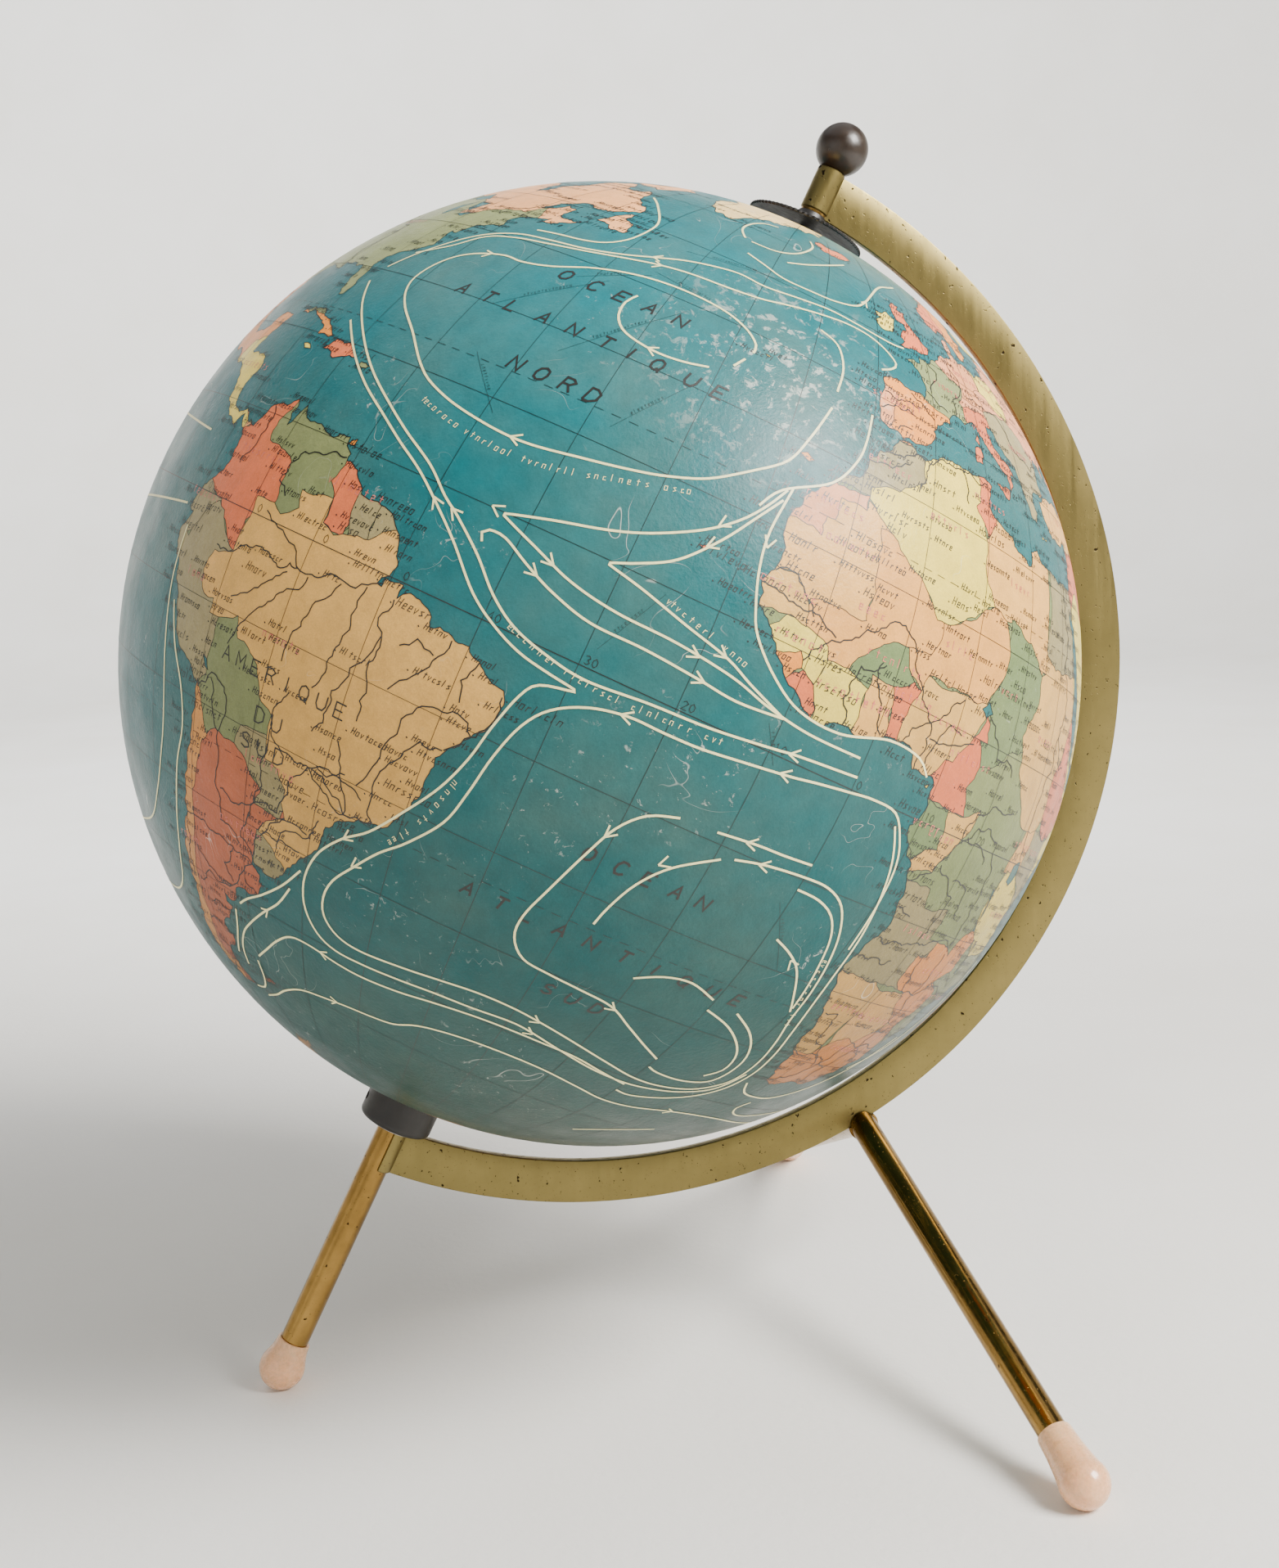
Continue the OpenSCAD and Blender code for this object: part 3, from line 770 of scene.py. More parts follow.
     "131,-1 135,-3.3 138,-1.7 145,-4.3 147.5,-6 150.5,-10.5 147,-9.8 143.5,-8.5 138.5,-8 138,-5.5 133,-4"),
    "borneo": ("y",
     "109,1.5 112,3 115,5 117,7 119,5 117.5,1 116,-4 111,-3.3 109.5,-.5"),
    "sumatra": ("s",
     "95.3,5.6 98,4.2 101,2 104,-1.5 106,-3.2 105.8,-5.8 102.3,-4 99,-.5 97,2"),
    "java": ("s",
     "105.3,-6.8 108.5,-6.7 112.6,-7 114.4,-8.3 110,-8.1 106.5,-7.4"),
    "sulawesi": ("s",
     "119.5,-5.5 119.8,.5 124.8,1.5 120.5,.4 123,-4.5 121,-2.6"),
    "luzon": ("o",
     "120.5,18.3 122,18.3 121.8,15.5 124,12.9 120.7,14 120,16"),
    "mindanao": ("o",
     "122,7 123.5,8.6 125.5,9.7 126.4,7 125.5,5.8"),
    "honshu": ("s",
     "131,34 133.5,35.5 136.7,37 139,38 140,40.5 141.4,41.3 142,39.5 140.8,36 138.5,34.7 135.8,33.6"),
    "hokkaido": ("s",
     "140.3,41.7 141.8,45.4 145.2,43.4 143.3,42"),
    "kyushu": ("s",
     "129.8,32.8 131,33.9 131.8,32.5 130.7,31"),
    "ceylon": ("y",
     "79.8,8 80.2,9.7 81.8,7.5 80.6,6"),
    "sakhalin": ("RU",
     "142,46.5 142,54 143.2,49"),
    "antarctica": ("AN",
     "-180,-76.6 -160,-76.6 -150,-76.5 -140,-75 -125,-73.8 -105,-74.5 -90,-73 -75,-72.5 -68,-69.5 "
     "-67,-66.8 -57,-63.3 -61,-67 -62,-72 -60,-75 -45,-76.5 -35,-76.5 -27,-75.6 -17,-72.5 -5,-70.5 10,-70 "
     "25,-70 35,-69 45,-67.7 55,-66 65,-67.7 72,-69.5 80,-68 95,-66.3 110,-66 125,-66.5 140,-66.8 "
     "150,-68.5 160,-70 170,-71.5 168,-75 172,-76.6 180,-76.6 180,-89 -180,-89"),
}
# Land tints laid one over the other; only what lies on land prints, so seaward edges run wide
TINTS = (
    ("c", "colombia", "s",
     "-85,12 -71.5,13 -71.8,11.5 -72.8,9.5 -72.3,7.3 -70,7 -67.5,6.1 -67.4,4 -67,1.5 -70,-1 -70,-4.5 "
     "-72.5,-2.5 -75.3,-.2 -77.5,.4 -79.5,1.8 -78.5,7.2 -77.2,7.8 -77.4,9"),
    ("c", "ecuador", "k",
     "-84,1.8 -78.9,1.4 -77.5,.4 -75.3,-.1 -75,-2 -80,-5 -84,-4"),
    ("c", "peru", "k",
     "-83,-3.3 -80.2,-4 -79,-5 -78,-3.2 -75.5,-.3 -74,-1 -73,-2.3 -70,-4.3 -68,-9 -69,-12.4 -69.2,-15 "
     "-68.9,-17 -69.8,-17.7 -70.4,-18.4 -73,-19 -83,-10"),
    ("c", "argentina", "m",
     "-66,-21.8 -62.6,-22.2 -60,-24 -57.6,-25.6 -58.6,-27.3 -56,-27.5 -54,-25.6 -53.7,-27 -57.6,-30 "
     "-58.2,-33 -58.4,-34.2 -50,-40 -60,-58 -75,-56 -75,-40 -71,-30 -68.5,-24.5 -67.3,-22.8"),
    ("c", "chile", "b",
     "-76,-17 -70.3,-18.2 -69.4,-19 -68.5,-21 -67.3,-23 -68.4,-24.8 -69,-27.3 -70,-30 -70,-33 -70.5,-35.5 "
     "-71.2,-38.5 -71.8,-41 -72,-44 -71.5,-46 -72.3,-49 -73,-50.5 -72,-52 -68.4,-52.3 -68.6,-55.5 -75,-58 "
     "-80,-45 -76,-30"),
    ("c", "paraguay", "k",
     "-62.6,-22.2 -62,-20 -58.2,-19.6 -56,-20 -53,-24 -54.5,-27.5 -58.6,-27.3 -57.6,-25.5 -60,-24"),
    ("c", "uruguay", "k",
     "-57.8,-30 -53,-31 -50,-34 -56,-37 -58.3,-34.2 -58.1,-32"),
    ("c", "guiana_west", "s",
     "-60.8,8.6 -61.3,6 -60.2,5 -59.8,2 -57,1.5 -57.3,4 -57.2,7 -59,9"),
    ("c", "guiana_mid", "k",
     "-57.2,7 -57.3,4 -56.5,1.5 -54,1.8 -54.3,5 -54,7"),
    ("c", "guiana_east", "k",
     "-54,7 -54.4,4.5 -54.2,1.8 -51.5,3.5 -50,5 -52,7"),
    ("c", "brazil", "c",
     "-51.5,4.3 -54,2.3 -56,2 -58,1.3 -59.8,2 -60,4.5 -62.5,4 -64.2,4.1 -63.5,2.3 -65.5,1 -67,1.8 "
     "-69.8,1.7 -69.5,-.5 -70,-4.2 -73,-5 -73.8,-7.3 -72.5,-9.5 -70.6,-9.5 -70.6,-11 -69,-11 -66,-9.9 "
     "-65.2,-12 -61.5,-13.5 -60.2,-16.3 -58,-17.5 -58,-20 -57.8,-22 -55.8,-22.4 -54.3,-24.1 -54.6,-25.6 "
     "-53.8,-27.2 -55.8,-28.2 -57.6,-30.2 -55.5,-31 -53.2,-32.8 -53.3,-34.2 -45,-35 -30,-20 -30,0 -45,8"),
    ("c", "united_states", "g",
     "-130,49 -95,49 -89.5,48 -84.5,46.5 -82.5,45 -82.5,42 -79,43 -75,45 -71,45.2 -69,47.3 -67.8,45.8 "
     "-66,44 -60,35 -78,22 -97,25.9 -99.5,27.5 -103,29 -106.5,31.8 -111,31.3 -114.8,32.5 -117.2,32.5 "
     "-130,35"),
    ("c", "alaska", "g",
     "-141,72 -141,60 -135,59 -130,55.5 -135,52 -175,50 -175,73"),
    ("c", "mexico", "o",
     "-117.2,32.5 -114.8,32.5 -111,31.3 -106.5,31.8 -103,29 -99.5,27.5 -97,25.9 -90,23 -86,22 -88,18.2 "
     "-89.2,17.8 -91,17.2 -92.2,14.5 -98,13 -118,20"),
    ("c", "central_america", "y",
     "-92.2,14.5 -91,17.2 -89.2,17.8 -88,18.2 -82,17 -82.5,11 -78,8.5 -78.5,6 -93,12"),
    ("c", "morocco", "k",
     "-13,36 -2,36 -1.8,34 -1.3,32.4 -3.5,31 -5,29.8 -8.7,28.7 -8.7,27.7 -13.5,27.6 -15,30"),
    ("c", "sahara_coast", "r",
     "-18,21.3 -17,21.3 -13,21.3 -13,23.4 -12,23.5 -12,26 -8.7,26 -8.7,27.7 -14,27.7 -18,24"),
    ("c", "mauritania", "p",
     "-12,26 -8.7,26 -8.7,27.2 -4.9,25 -6.5,24.9 -5.6,16.5 -5.4,15.5 -9.5,15.4 -12.2,14.8 -14,16.6 "
     "-18,16.2 -18,21.3 -13,21.3 -13,23.4 -12,23.5"),
    ("c", "mali", "q",
     "-12,15 -9.5,15.4 -5.4,15.5 -5.6,16.5 -6.5,25 -4.9,25 1.2,21.1 3.2,19.2 4.2,19.1 4.2,16.8 3.5,15.5 "
     ".5,15 -1,15 -3,13.7 -5.4,11 -5.5,10.4 -8,10.3 -8.5,11.5 -11.4,12.2 -12,14"),
    ("c", "algeria", "y",
     "-2,36.5 8.5,38 8.3,34 7.5,33.3 9.1,31.8 9.5,30.2 9.8,26.3 11.9,23.5 7.5,20.8 5.7,19.4 3.2,19 "
     "1.2,21.1 -4.9,25 -8.7,27.4 -8.7,28.7 -5,29.8 -3.5,31 -1.3,32.4 -1.8,34"),
    ("c", "tunisia", "s",
     "8.5,38 8.3,34 7.5,33.3 9.1,31.8 10,30.3 11.5,32.5 11.5,33.2 13,38"),
    ("c", "libya", "p",
     "11.5,33.3 11.5,32.5 9.5,30.2 9.8,26.3 11.9,23.5 14.5,22.8 16,23.3 24,19.5 24,20 25,20 25,31.6 26,34"),
    ("c", "niger", "q",
     "4.2,19.1 5.7,19.4 11.9,23.5 14.5,22.8 15.5,21 15.5,16.9 13.6,13.7 12,13.2 7,13.2 4,13.5 3.6,11.7 "
     "1.2,13.2 .2,15 3.5,15.4 4.2,16.8"),
    ("c", "chad", "h",
     "15.5,23.3 16,23.4 24,19.5 23.9,15.7 22.5,14 22,12.5 22.9,11 19,9 15.5,7.5 14,10 15,12.5 13.5,13.7 "
     "15.5,16.9 15.5,21"),
    ("c", "egypt", "k",
     "25,32.5 25,22 37,22 35,28 34.3,31.5"),
    ("c", "sudan", "c",
     "25,22 37,22 39,18 36.3,14 34.1,10 35,5.5 34,4.2 31,3.7 28,4.3 25,7.5 23.5,8.8 22.9,11 22,12.5 "
     "22.5,14 23.9,15.7 24,19.5 25,20"),
    ("c", "ethiopia", "s",
     "36.4,14.3 38.5,18 43.3,12.7 42.5,11 44,9 48,8 45,5 41.9,3.9 39.5,3.5 36,4.4 35,5.5 34.1,8.5 "
     "34.3,10.6 36.2,12.7"),
    ("c", "somalia", "y",
     "43.2,11.5 44,9 48,8 45,5 41.9,3.9 41,2.9 41,-1 41.5,-2 52,2 54,13"),
    ("c", "kenya", "k",
     "34,4.2 36,4.4 39.5,3.4 41.9,3.9 41,2.9 41,-1 41.6,-1.7 39.2,-4.7 34,-1 34,1"),
    ("c", "uganda", "p",
     "34,4.2 31,3.7 30.8,2.3 29.6,0 29.6,-1.4 34,-1 34,1"),
    ("c", "tanzania", "y",
     "30.4,-1 34,-1 37.6,-3 39.2,-4.7 42,-6 42,-11 40.5,-10.5 37.5,-11.7 34.6,-11.5 33,-9.5 30.8,-8.3 "
     "29.4,-6 29.5,-4.4"),
    ("c", "angola", "k",
     "11,-5.8 13,-5.9 16.5,-5.9 17.5,-8 21.8,-7.3 22,-11 24,-11 24,-13 22,-13 22,-16.2 23.4,-17.6 "
     "18.5,-17.4 11.5,-17.3"),
    ("c", "zambia", "o",
     "24,-11 28.5,-12.2 29,-9.5 30.8,-8.3 33,-9.5 33,-13.8 30.3,-15.7 32.9,-16.7 32.8,-19.8 31.3,-22.3 "
     "29.4,-22.2 27,-20.5 25.3,-17.8 23.4,-17.6 22,-16.2 22,-13 24,-13"),
    ("c", "mozambique", "g",
     "40.6,-10.6 34.6,-11.6 35.8,-16 34.3,-15 33,-14 30.3,-15.5 32.9,-16.7 32.8,-19.8 31.3,-22.3 32,-24 "
     "32,-26.8 36,-27 42,-18"),
    ("c", "south_west_africa", "c",
     "11,-17.3 18.5,-17.4 21,-18.3 21,-22 20,-22 20,-28.5 16.5,-28.7 13,-25"),
    ("c", "bechuanaland", "p",
     "21,-18.3 25.3,-17.8 27,-20.5 29.4,-22.2 26.5,-24.5 25.5,-25.7 23,-25.3 20.8,-26.9 20,-24.8 20,-22 "
     "21,-22"),
    ("c", "south_africa", "o",
     "15,-28.7 16.5,-28.7 20,-28.5 20.8,-26.9 23,-25.3 25.5,-25.7 26.5,-24.5 29.4,-22.2 31.3,-22.3 32,-24 "
     "32.9,-26.8 35,-30 25,-37 15,-36"),
    ("c", "nigeria", "c",
     "2.7,6 2.8,9 3.6,11.7 4,13.5 7,13 12,13.2 13.6,13.7 14.2,12.5 13,10 11,6.7 9.8,6.6 8.5,4.5 6,3 3,5"),
    ("c", "dahomey", "s",
     "0,11 1,13 2.4,12.2 3.6,11.7 2.8,9 2.7,6 1.2,5.8"),
    ("c", "ghana", "p",
     "-3.2,11 0,11 .6,8.5 1.2,6 0,4 -3,4.5 -2.8,7.5"),
    ("c", "ivory_coast", "y",
     "-8.5,7.5 -8,10.3 -5.5,10.5 -2.7,9.5 -2.8,7.5 -3,4 -7.5,4 -7.4,5.6"),
    ("c", "liberia", "s",
     "-11.6,6.9 -10,8.5 -8.5,7.5 -7.4,5.5 -7.5,4 -12,5"),
    ("c", "sierra_leone", "o",
     "-13.4,9 -12.5,9.9 -11,10 -10.3,8.5 -11.5,6.9 -14,7.5"),
    ("c", "guinea", "y",
     "-15,10.9 -13.7,12.6 -11.4,12.4 -8.5,11.5 -8,10 -8.5,7.6 -10.3,8.5 -11,10 -13.3,9 -16,9"),
    ("c", "senegal", "c",
     "-18,16.7 -14,16.6 -12.2,14.8 -11.4,12.3 -13.7,12.6 -17,12.3 -18,14"),
    ("c", "upper_volta", "h",
     "-5.4,11 -3,13.7 -1,15 .5,15 1.2,13.2 2.4,12.2 1,11.1 -2.8,11 -2.7,9.5 -5.5,10.4"),
    ("c", "cameroon", "s",
     "8.5,4.5 9.8,6.6 11,6.7 13,10 14.2,12.7 15,12 15.5,10 14,10 15.5,7.5 14.5,5 16,2.2 13,2.2 9.8,2.3 "
     "9,3.5"),
    ("c", "gabon", "h",
     "8,2.2 13.2,2.2 14,0 14.3,-2 12.5,-2.5 11.2,-3.9 8,-2"),
    ("c", "congo", "c",
     "13.2,2.2 16.2,2.2 18.6,3.5 17.8,.5 16.2,-2.2 15.3,-4.3 13,-4.6 11.8,-5 11,-4 12.5,-2.4 14.3,-2 14,0"),
    ("c", "spain", "o",
     "-9.5,44.5 -1.6,43.5 .5,42.7 3.4,42.4 4,40 -2,35.8 -6,35.8 -7.4,37.1 -7,38 -7,40 -6.5,41.8 -8.2,42.1 "
     "-9.5,42.2"),
    ("c", "portugal", "r",
     "-10,42.2 -8.2,42.1 -6.5,41.8 -7,40 -7,38 -7.4,37 -10,36"),
    ("c", "france", "g",
     "-5.5,48.8 1.5,51.3 2.6,50.9 4.2,49.9 6.2,49.4 8.2,49 7.6,47.6 6.2,46.3 7,45.8 6.9,44.2 7.6,43.6 "
     "5,42.5 3.4,42.4 .5,42.7 -1.7,43.3 -4,44.5"),
    ("c", "italy", "s",
     "7.6,43.6 6.9,44.2 7,45.8 8.5,46.4 10.4,46.6 12.4,46.8 13.7,46.5 13.8,45.5 20,41 19,37 11,36 7,38 "
     "8,42"),
    ("c", "germany", "r",
     "6,51.8 7,53.8 8.6,55 11,54.9 14.3,54.2 14.6,51 12.2,50.2 13.8,48.8 13,47.6 10,47.4 7.6,47.6 8.2,49 "
     "6.2,49.5"),
    ("c", "poland", "y",
     "14.3,54.2 18.5,55 20,54.4 23.3,54.3 24,51 22.5,49.1 18.8,49.5 14.8,51"),
    ("c", "balkans", "k",
     "13,47.6 16,48.5 22.5,49 26,48 30,45.5 29,42 27,40.7 22,36 18,40 13.7,45.5"),
    ("c", "norway", "s",
     "4,58 5,62 14,69 25,72 31,70.5 28.5,69.8 26,69 20.5,69 16,68 14,64.5 12.3,63 12.5,60 11.2,59 10,57.5"),
    ("c", "finland", "y",
     "20.5,69 26,69.5 28.5,69.8 30.5,67 31.5,62.5 28,59.8 20,59.5 24,65.8"),
    ("c", "sweden", "o",
     "11,55 11.2,59 12.5,60 12.3,63 14,64.5 16,68 20.5,69 24,65.8 18,60 17,55"),
    ("c", "turkey", "p",
     "26,40 30,41.6 42,41.6 44.8,39.5 44.5,37 36,36.4 26,35.5"),
    ("c", "arabia", "y",
     "35,29.3 39,32 44.5,29.2 48,28.5 52,25 60,25 60,15 43,10 35,25"),
    ("c", "iraq_syria", "s",
     "36,36.4 42.5,37.2 45.5,36 46,33 48.5,30 46.5,29 44.5,29.2 39,32 35,29.3 34,31.5"),
    ("c", "persia", "g",
     "44.5,39.5 48.5,38.2 54,37.3 61,36.5 61,31.5 63,27 61,25 55,25 48,30 46,33 45,37"),
    ("c", "afghanistan", "o",
     "61,36 67,37.5 74.5,37 70,34 67,31 61,29.5 61,32"),
    ("c", "india", "p",
     "61.5,24 63,27 61,29.5 66,30 70,34 74.5,37 78.5,35.5 81,30.2 88,27.8 97,28.3 92.5,21 90,5 75,5"),
    ("c", "china", "c",
     "74.5,37 74,40 80,45 87.5,49 97,42.7 111,43.5 119.5,50 126,53 131,48 135,48.4 131,42.5 124,39.5 "
     "125,20 108,21.5 102,22.5 97.5,24 97,28.3 88,27.8 81,30.2 78.5,35.5"),
    ("c", "mongolia", "g",
     "87.5,49 98,52 116,49.8 119.5,47 111,43.5 97,42.7"),
    ("c", "indochina", "s",
     "92.5,21 97.5,28 97.5,24 102,22.5 108,21.5 111,15 104,0 95,8"),
    ("w", "lake_chad", "w",
     "13,13 14,14 15,13 14,12.3"),
    ("w", "lake_victoria", "w",
     "31.8,-.3 33.5,.4 34,-1 33,-2.6 31.8,-2.2"),
    ("w", "tanganyika", "w",
     "29.3,-3.5 29.8,-3.6 31,-8.5 30.5,-8.6"),
    ("w", "nyasa", "w",
     "34,-9.6 34.6,-10 35.2,-14 34.6,-14"),
    ("w", "titicaca", "w",
     "-70,-15.2 -69.3,-15.5 -68.7,-16.5 -69.3,-16.3"),
    ("w", "caspian", "w",
     "47,44.5 50,46.8 53,46.5 51,44.5 53,42 54,39 53.5,37 50,37.4 49,40.5 47.5,43"),
    ("w", "aral", "w",
     "58.5,44 59,46.5 61.5,46.5 60,43.7"),
    ("w", "baikal", "w",
     "104,51.6 109.5,55.5 108,52.5"),
    ("w", "superior", "w",
     "-92,46.7 -88,48.9 -84.7,47 -87,46.5"),
    ("w", "huron", "w",
     "-84,46 -81,45.9 -82,43.2 -83.5,44"),
    ("w", "michigan", "w",
     "-87.6,42 -87.5,44.5 -85.2,45.9 -86.3,43 -87,41.7"),
    ("w", "erie", "w",
     "-83.2,41.8 -79,42.8 -81,41.7"),
    ("w", "great_bear", "w",
     "-124,66 -119,67 -119,65.5"),
    ("w", "great_slave", "w",
     "-116,61.2 -110,62.6 -113,61"),
    ("w", "winnipeg", "w",
     "-99,53.5 -96.5,51 -98,51.5"),
)
RIVERS = (
    "-50.5,-.9 -52,-1.6 -54.5,-2.3 -57,-2.6 -60,-3.2 -63,-3.8 -66,-2.7 -69.5,-4 -73,-4.4",
    "-48.8,-1.8 -49.6,-4 -48.3,-6.5 -48.3,-10 -48,-14", "-48.6,-5.5 -49.5,-8.5 -50.7,-11 -51.5,-14 -52.6,-17",
    "-52,-1.8 -52.2,-4 -52.5,-7.5 -53,-11 -54,-13", "-54.8,-2.6 -56.5,-5 -57.5,-8 -58.5,-12",
    "-58.8,-3.4 -61.5,-6 -63.8,-8.5 -65.4,-10.5 -66.5,-13", "-61.5,-3.8 -64.5,-6.5 -68,-8.5",
    "-60,-3.2 -62,-1.2 -65,-.3 -67.5,.8",
    "-36.5,-10.5 -38.5,-9 -40.5,-9.4 -42.5,-10.2 -43.5,-12.5 -44.5,-15.5 -45,-18 -46,-20",
    "-41.8,-3 -42.8,-5.5 -44,-7.5 -46,-9.8",
    "-58.4,-33.8 -60.5,-32 -59.5,-29.5 -58.6,-27.3 -55,-27 -54.5,-25.4 -54,-23 -51.5,-20.5 -49.5,-19.8 "
    "-47.5,-19.5",
    "-58.6,-27.3 -57.6,-25 -58,-22 -57.8,-19 -57.5,-16 -56.5,-14.5",
    "-58.3,-33.5 -57.8,-31 -55.8,-28.5 -53,-27.2 -50.5,-27.6", "-51.3,-20.6 -49,-21.7 -46.6,-23.5",
    "-51,-20 -48,-20.1 -45,-21.2", "-61,8.7 -64,8 -66.5,7.6 -67.5,6 -67.8,4 -66,2.8",
    "-74.8,10.8 -74,8 -75.3,4", "-42.9,-5 -45,-4.2 -46.5,-5.5",
    "-43.2,-22.9 -46.6,-23.5 -49.5,-22.3 -51.5,-21 -54.6,-20.4 -57.6,-19",
    "-46.6,-23.5 -47,-21.5 -48.2,-19 -49.3,-16.7", "-43.2,-22.9 -44,-20 -43.9,-17.5 -41,-13 -38.6,-12.9",
    "-38.5,-12.8 -37,-10.9 -35.5,-9.3 -35,-8 -35.2,-5.8", "-38.5,-3.8 -39.5,-6 -38.8,-8",
    "-51.2,-30 -53.8,-29.7 -57,-29.8", "-49.3,-25.4 -51,-28.2 -53,-28.3 -54.5,-31",
    "-58.5,-34.6 -62,-33.8 -65.5,-33.5 -68.8,-32.9 -71.5,-33",
    "-60.7,-32.9 -64.2,-31.4 -65.2,-26.8 -65.5,-22 -68,-17",
    "-58.5,-34.6 -60.5,-36.5 -62.3,-38.7 -68,-39 -71,-41", "-60,-37 -58,-38", "-62,-34 -64,-36.5 -62.5,-38.5",
    "-71.5,-33 -71.5,-36 -72.8,-39 -73,-41.5", "-58.6,-27.3 -61,-28.5 -64.3,-27.8",
    "-70,-18.5 -68,-16.5 -65,-18 -65.5,-22", "-65,-47 -68.5,-46.6 -71.5,-46.6", "-63,-39 -67,-38.5 -70,-37",
    "-65,-43.2 -69,-43.5", "-68.5,-50.2 -72,-49.6",
    "-10.5,9.2 -9,11.5 -6,13.5 -3.5,15.5 -1.5,16.9 0,16.4 2,13.5 4,11 6.5,8.8 6.6,6.5 6.1,4.4",
    "6.7,7.8 9.5,8 13.3,9.3", "-16.4,16 -14,16.6 -12.2,14.8 -11,13.5", ".5,6 -.5,8 -2,10.5 -2,12.5",
    "12.4,-6 15.3,-4.3 16.5,-2.2 17.8,0 19.5,1.8 22,2.2 24.5,1.2 25.3,-1 26.3,-4 27,-7.5 27,-11",
    "17.7,-.4 18.2,3 20.5,4.4 23,4.2 25.5,4.8", "16.2,-3.2 18.5,-4.2 21,-6 20.5,-9 20,-11.5",
    "19.5,-4.3 23,-4.8 24,-8", "18.3,.5 21,.2 23.5,-1.5",
    "31,31.3 31,28 32.7,25.5 31.5,21.5 33.8,19 32.5,15.6 32.7,12 31.5,9.5 31.5,5 31.8,3 33,.5",
    "32.5,15.6 34.5,12 37.3,11.8", "36.3,-18.6 33,-16 30,-15.7 27,-17.7 24.5,-17.6 23.2,-14.5 24,-11.8",
    "16.6,-28.6 20,-28.5 23.5,-29 26,-30.5", "33.5,-25 31.3,-22.4 27,-23.8",
    "-17.4,14.7 -14,13.8 -10.5,13.9 -8,12.6", "-4,5.3 -5,7.7 -4.3,11.2 -1.5,12.4",
    "3.4,6.5 4,8 5.5,9 7.5,10.5 8.5,12 10,13", "7,4.8 7.5,7 8.9,9.9 11,9.5",
    "-7.6,33.6 -5,34 -1,35 3,36.4 7.5,36.4 10.2,36.8", "-9.6,31.6 -6.5,32 -4,33.5", "-.5,35.5 -2,32 -2.3,31",
    "5,36.5 6,34.5 6,33", "13.5,-12.5 17,-12.5 20,-11.8 23,-11 26,-10.5 27.5,-11.7", "13.3,-8.8 16,-9.4",
    "18.4,-33.9 22,-32.5 24.7,-28.7 25.5,-25.8 28,-26.2 31,-29.8", "28,-26.2 32.5,-26",
    "28,-26.2 28.5,-22 28.6,-20.2 27.5,-18 28.2,-15.4 27.5,-12", "25.6,-33.9 26,-30 28,-26.2",
    "17.1,-22.5 15,-22.8", "17.1,-22.5 18,-26.5 21,-28.4 23,-30.5", "12.5,-15.2 14.8,-14.9 18,-14.6",
    "18,9 16.5,11 15,12.5", "22,8 20,9.5 18,9", "-8.7,41.2 -5,41.5 -2.5,41.7", "-9.2,38.8 -6,39.8 -3.5,40",
    "-6.3,37 -4,38", "0,41 -2,42.3 -4,43", "0,45 2,48.8 .2,49.5", "-1,44.8 1.3,43.6 3,43.4",
    "4.8,43.5 4.8,46 7,47.5 8,50 6,51.5", "29.5,45.2 22,44.5 19,47.5 13,48.3 9,48",
    "-89.5,29.3 -91,32 -90,36 -91,40 -93,45", "-90,38.5 -96,41 -102,46 -110,47.5", "-75,45.3 -71,47 -68,48.6",
    "-134,69 -128,65 -122,62", "37,47 40,50 39,53", "48,46 46,50 49,54 44,56.5 38,57",
    "72,67 66,62 70,58 75,55 82,50", "82,70 87,66 90,60 93,55", "127,72 125,66 130,61 115,58 108,54",
    "121,31.5 113,30 106,29 100,27 96,33", "118,37.5 110,35 109,40.5 104,38 100,35.5", "89,23 82,25.5 78,29",
    "67.5,24 70.5,29 74,33 78,34", "140,53 135,48.5 127,50 120,53", "139,-35.5 142,-34 147,-30 150,-26",
)
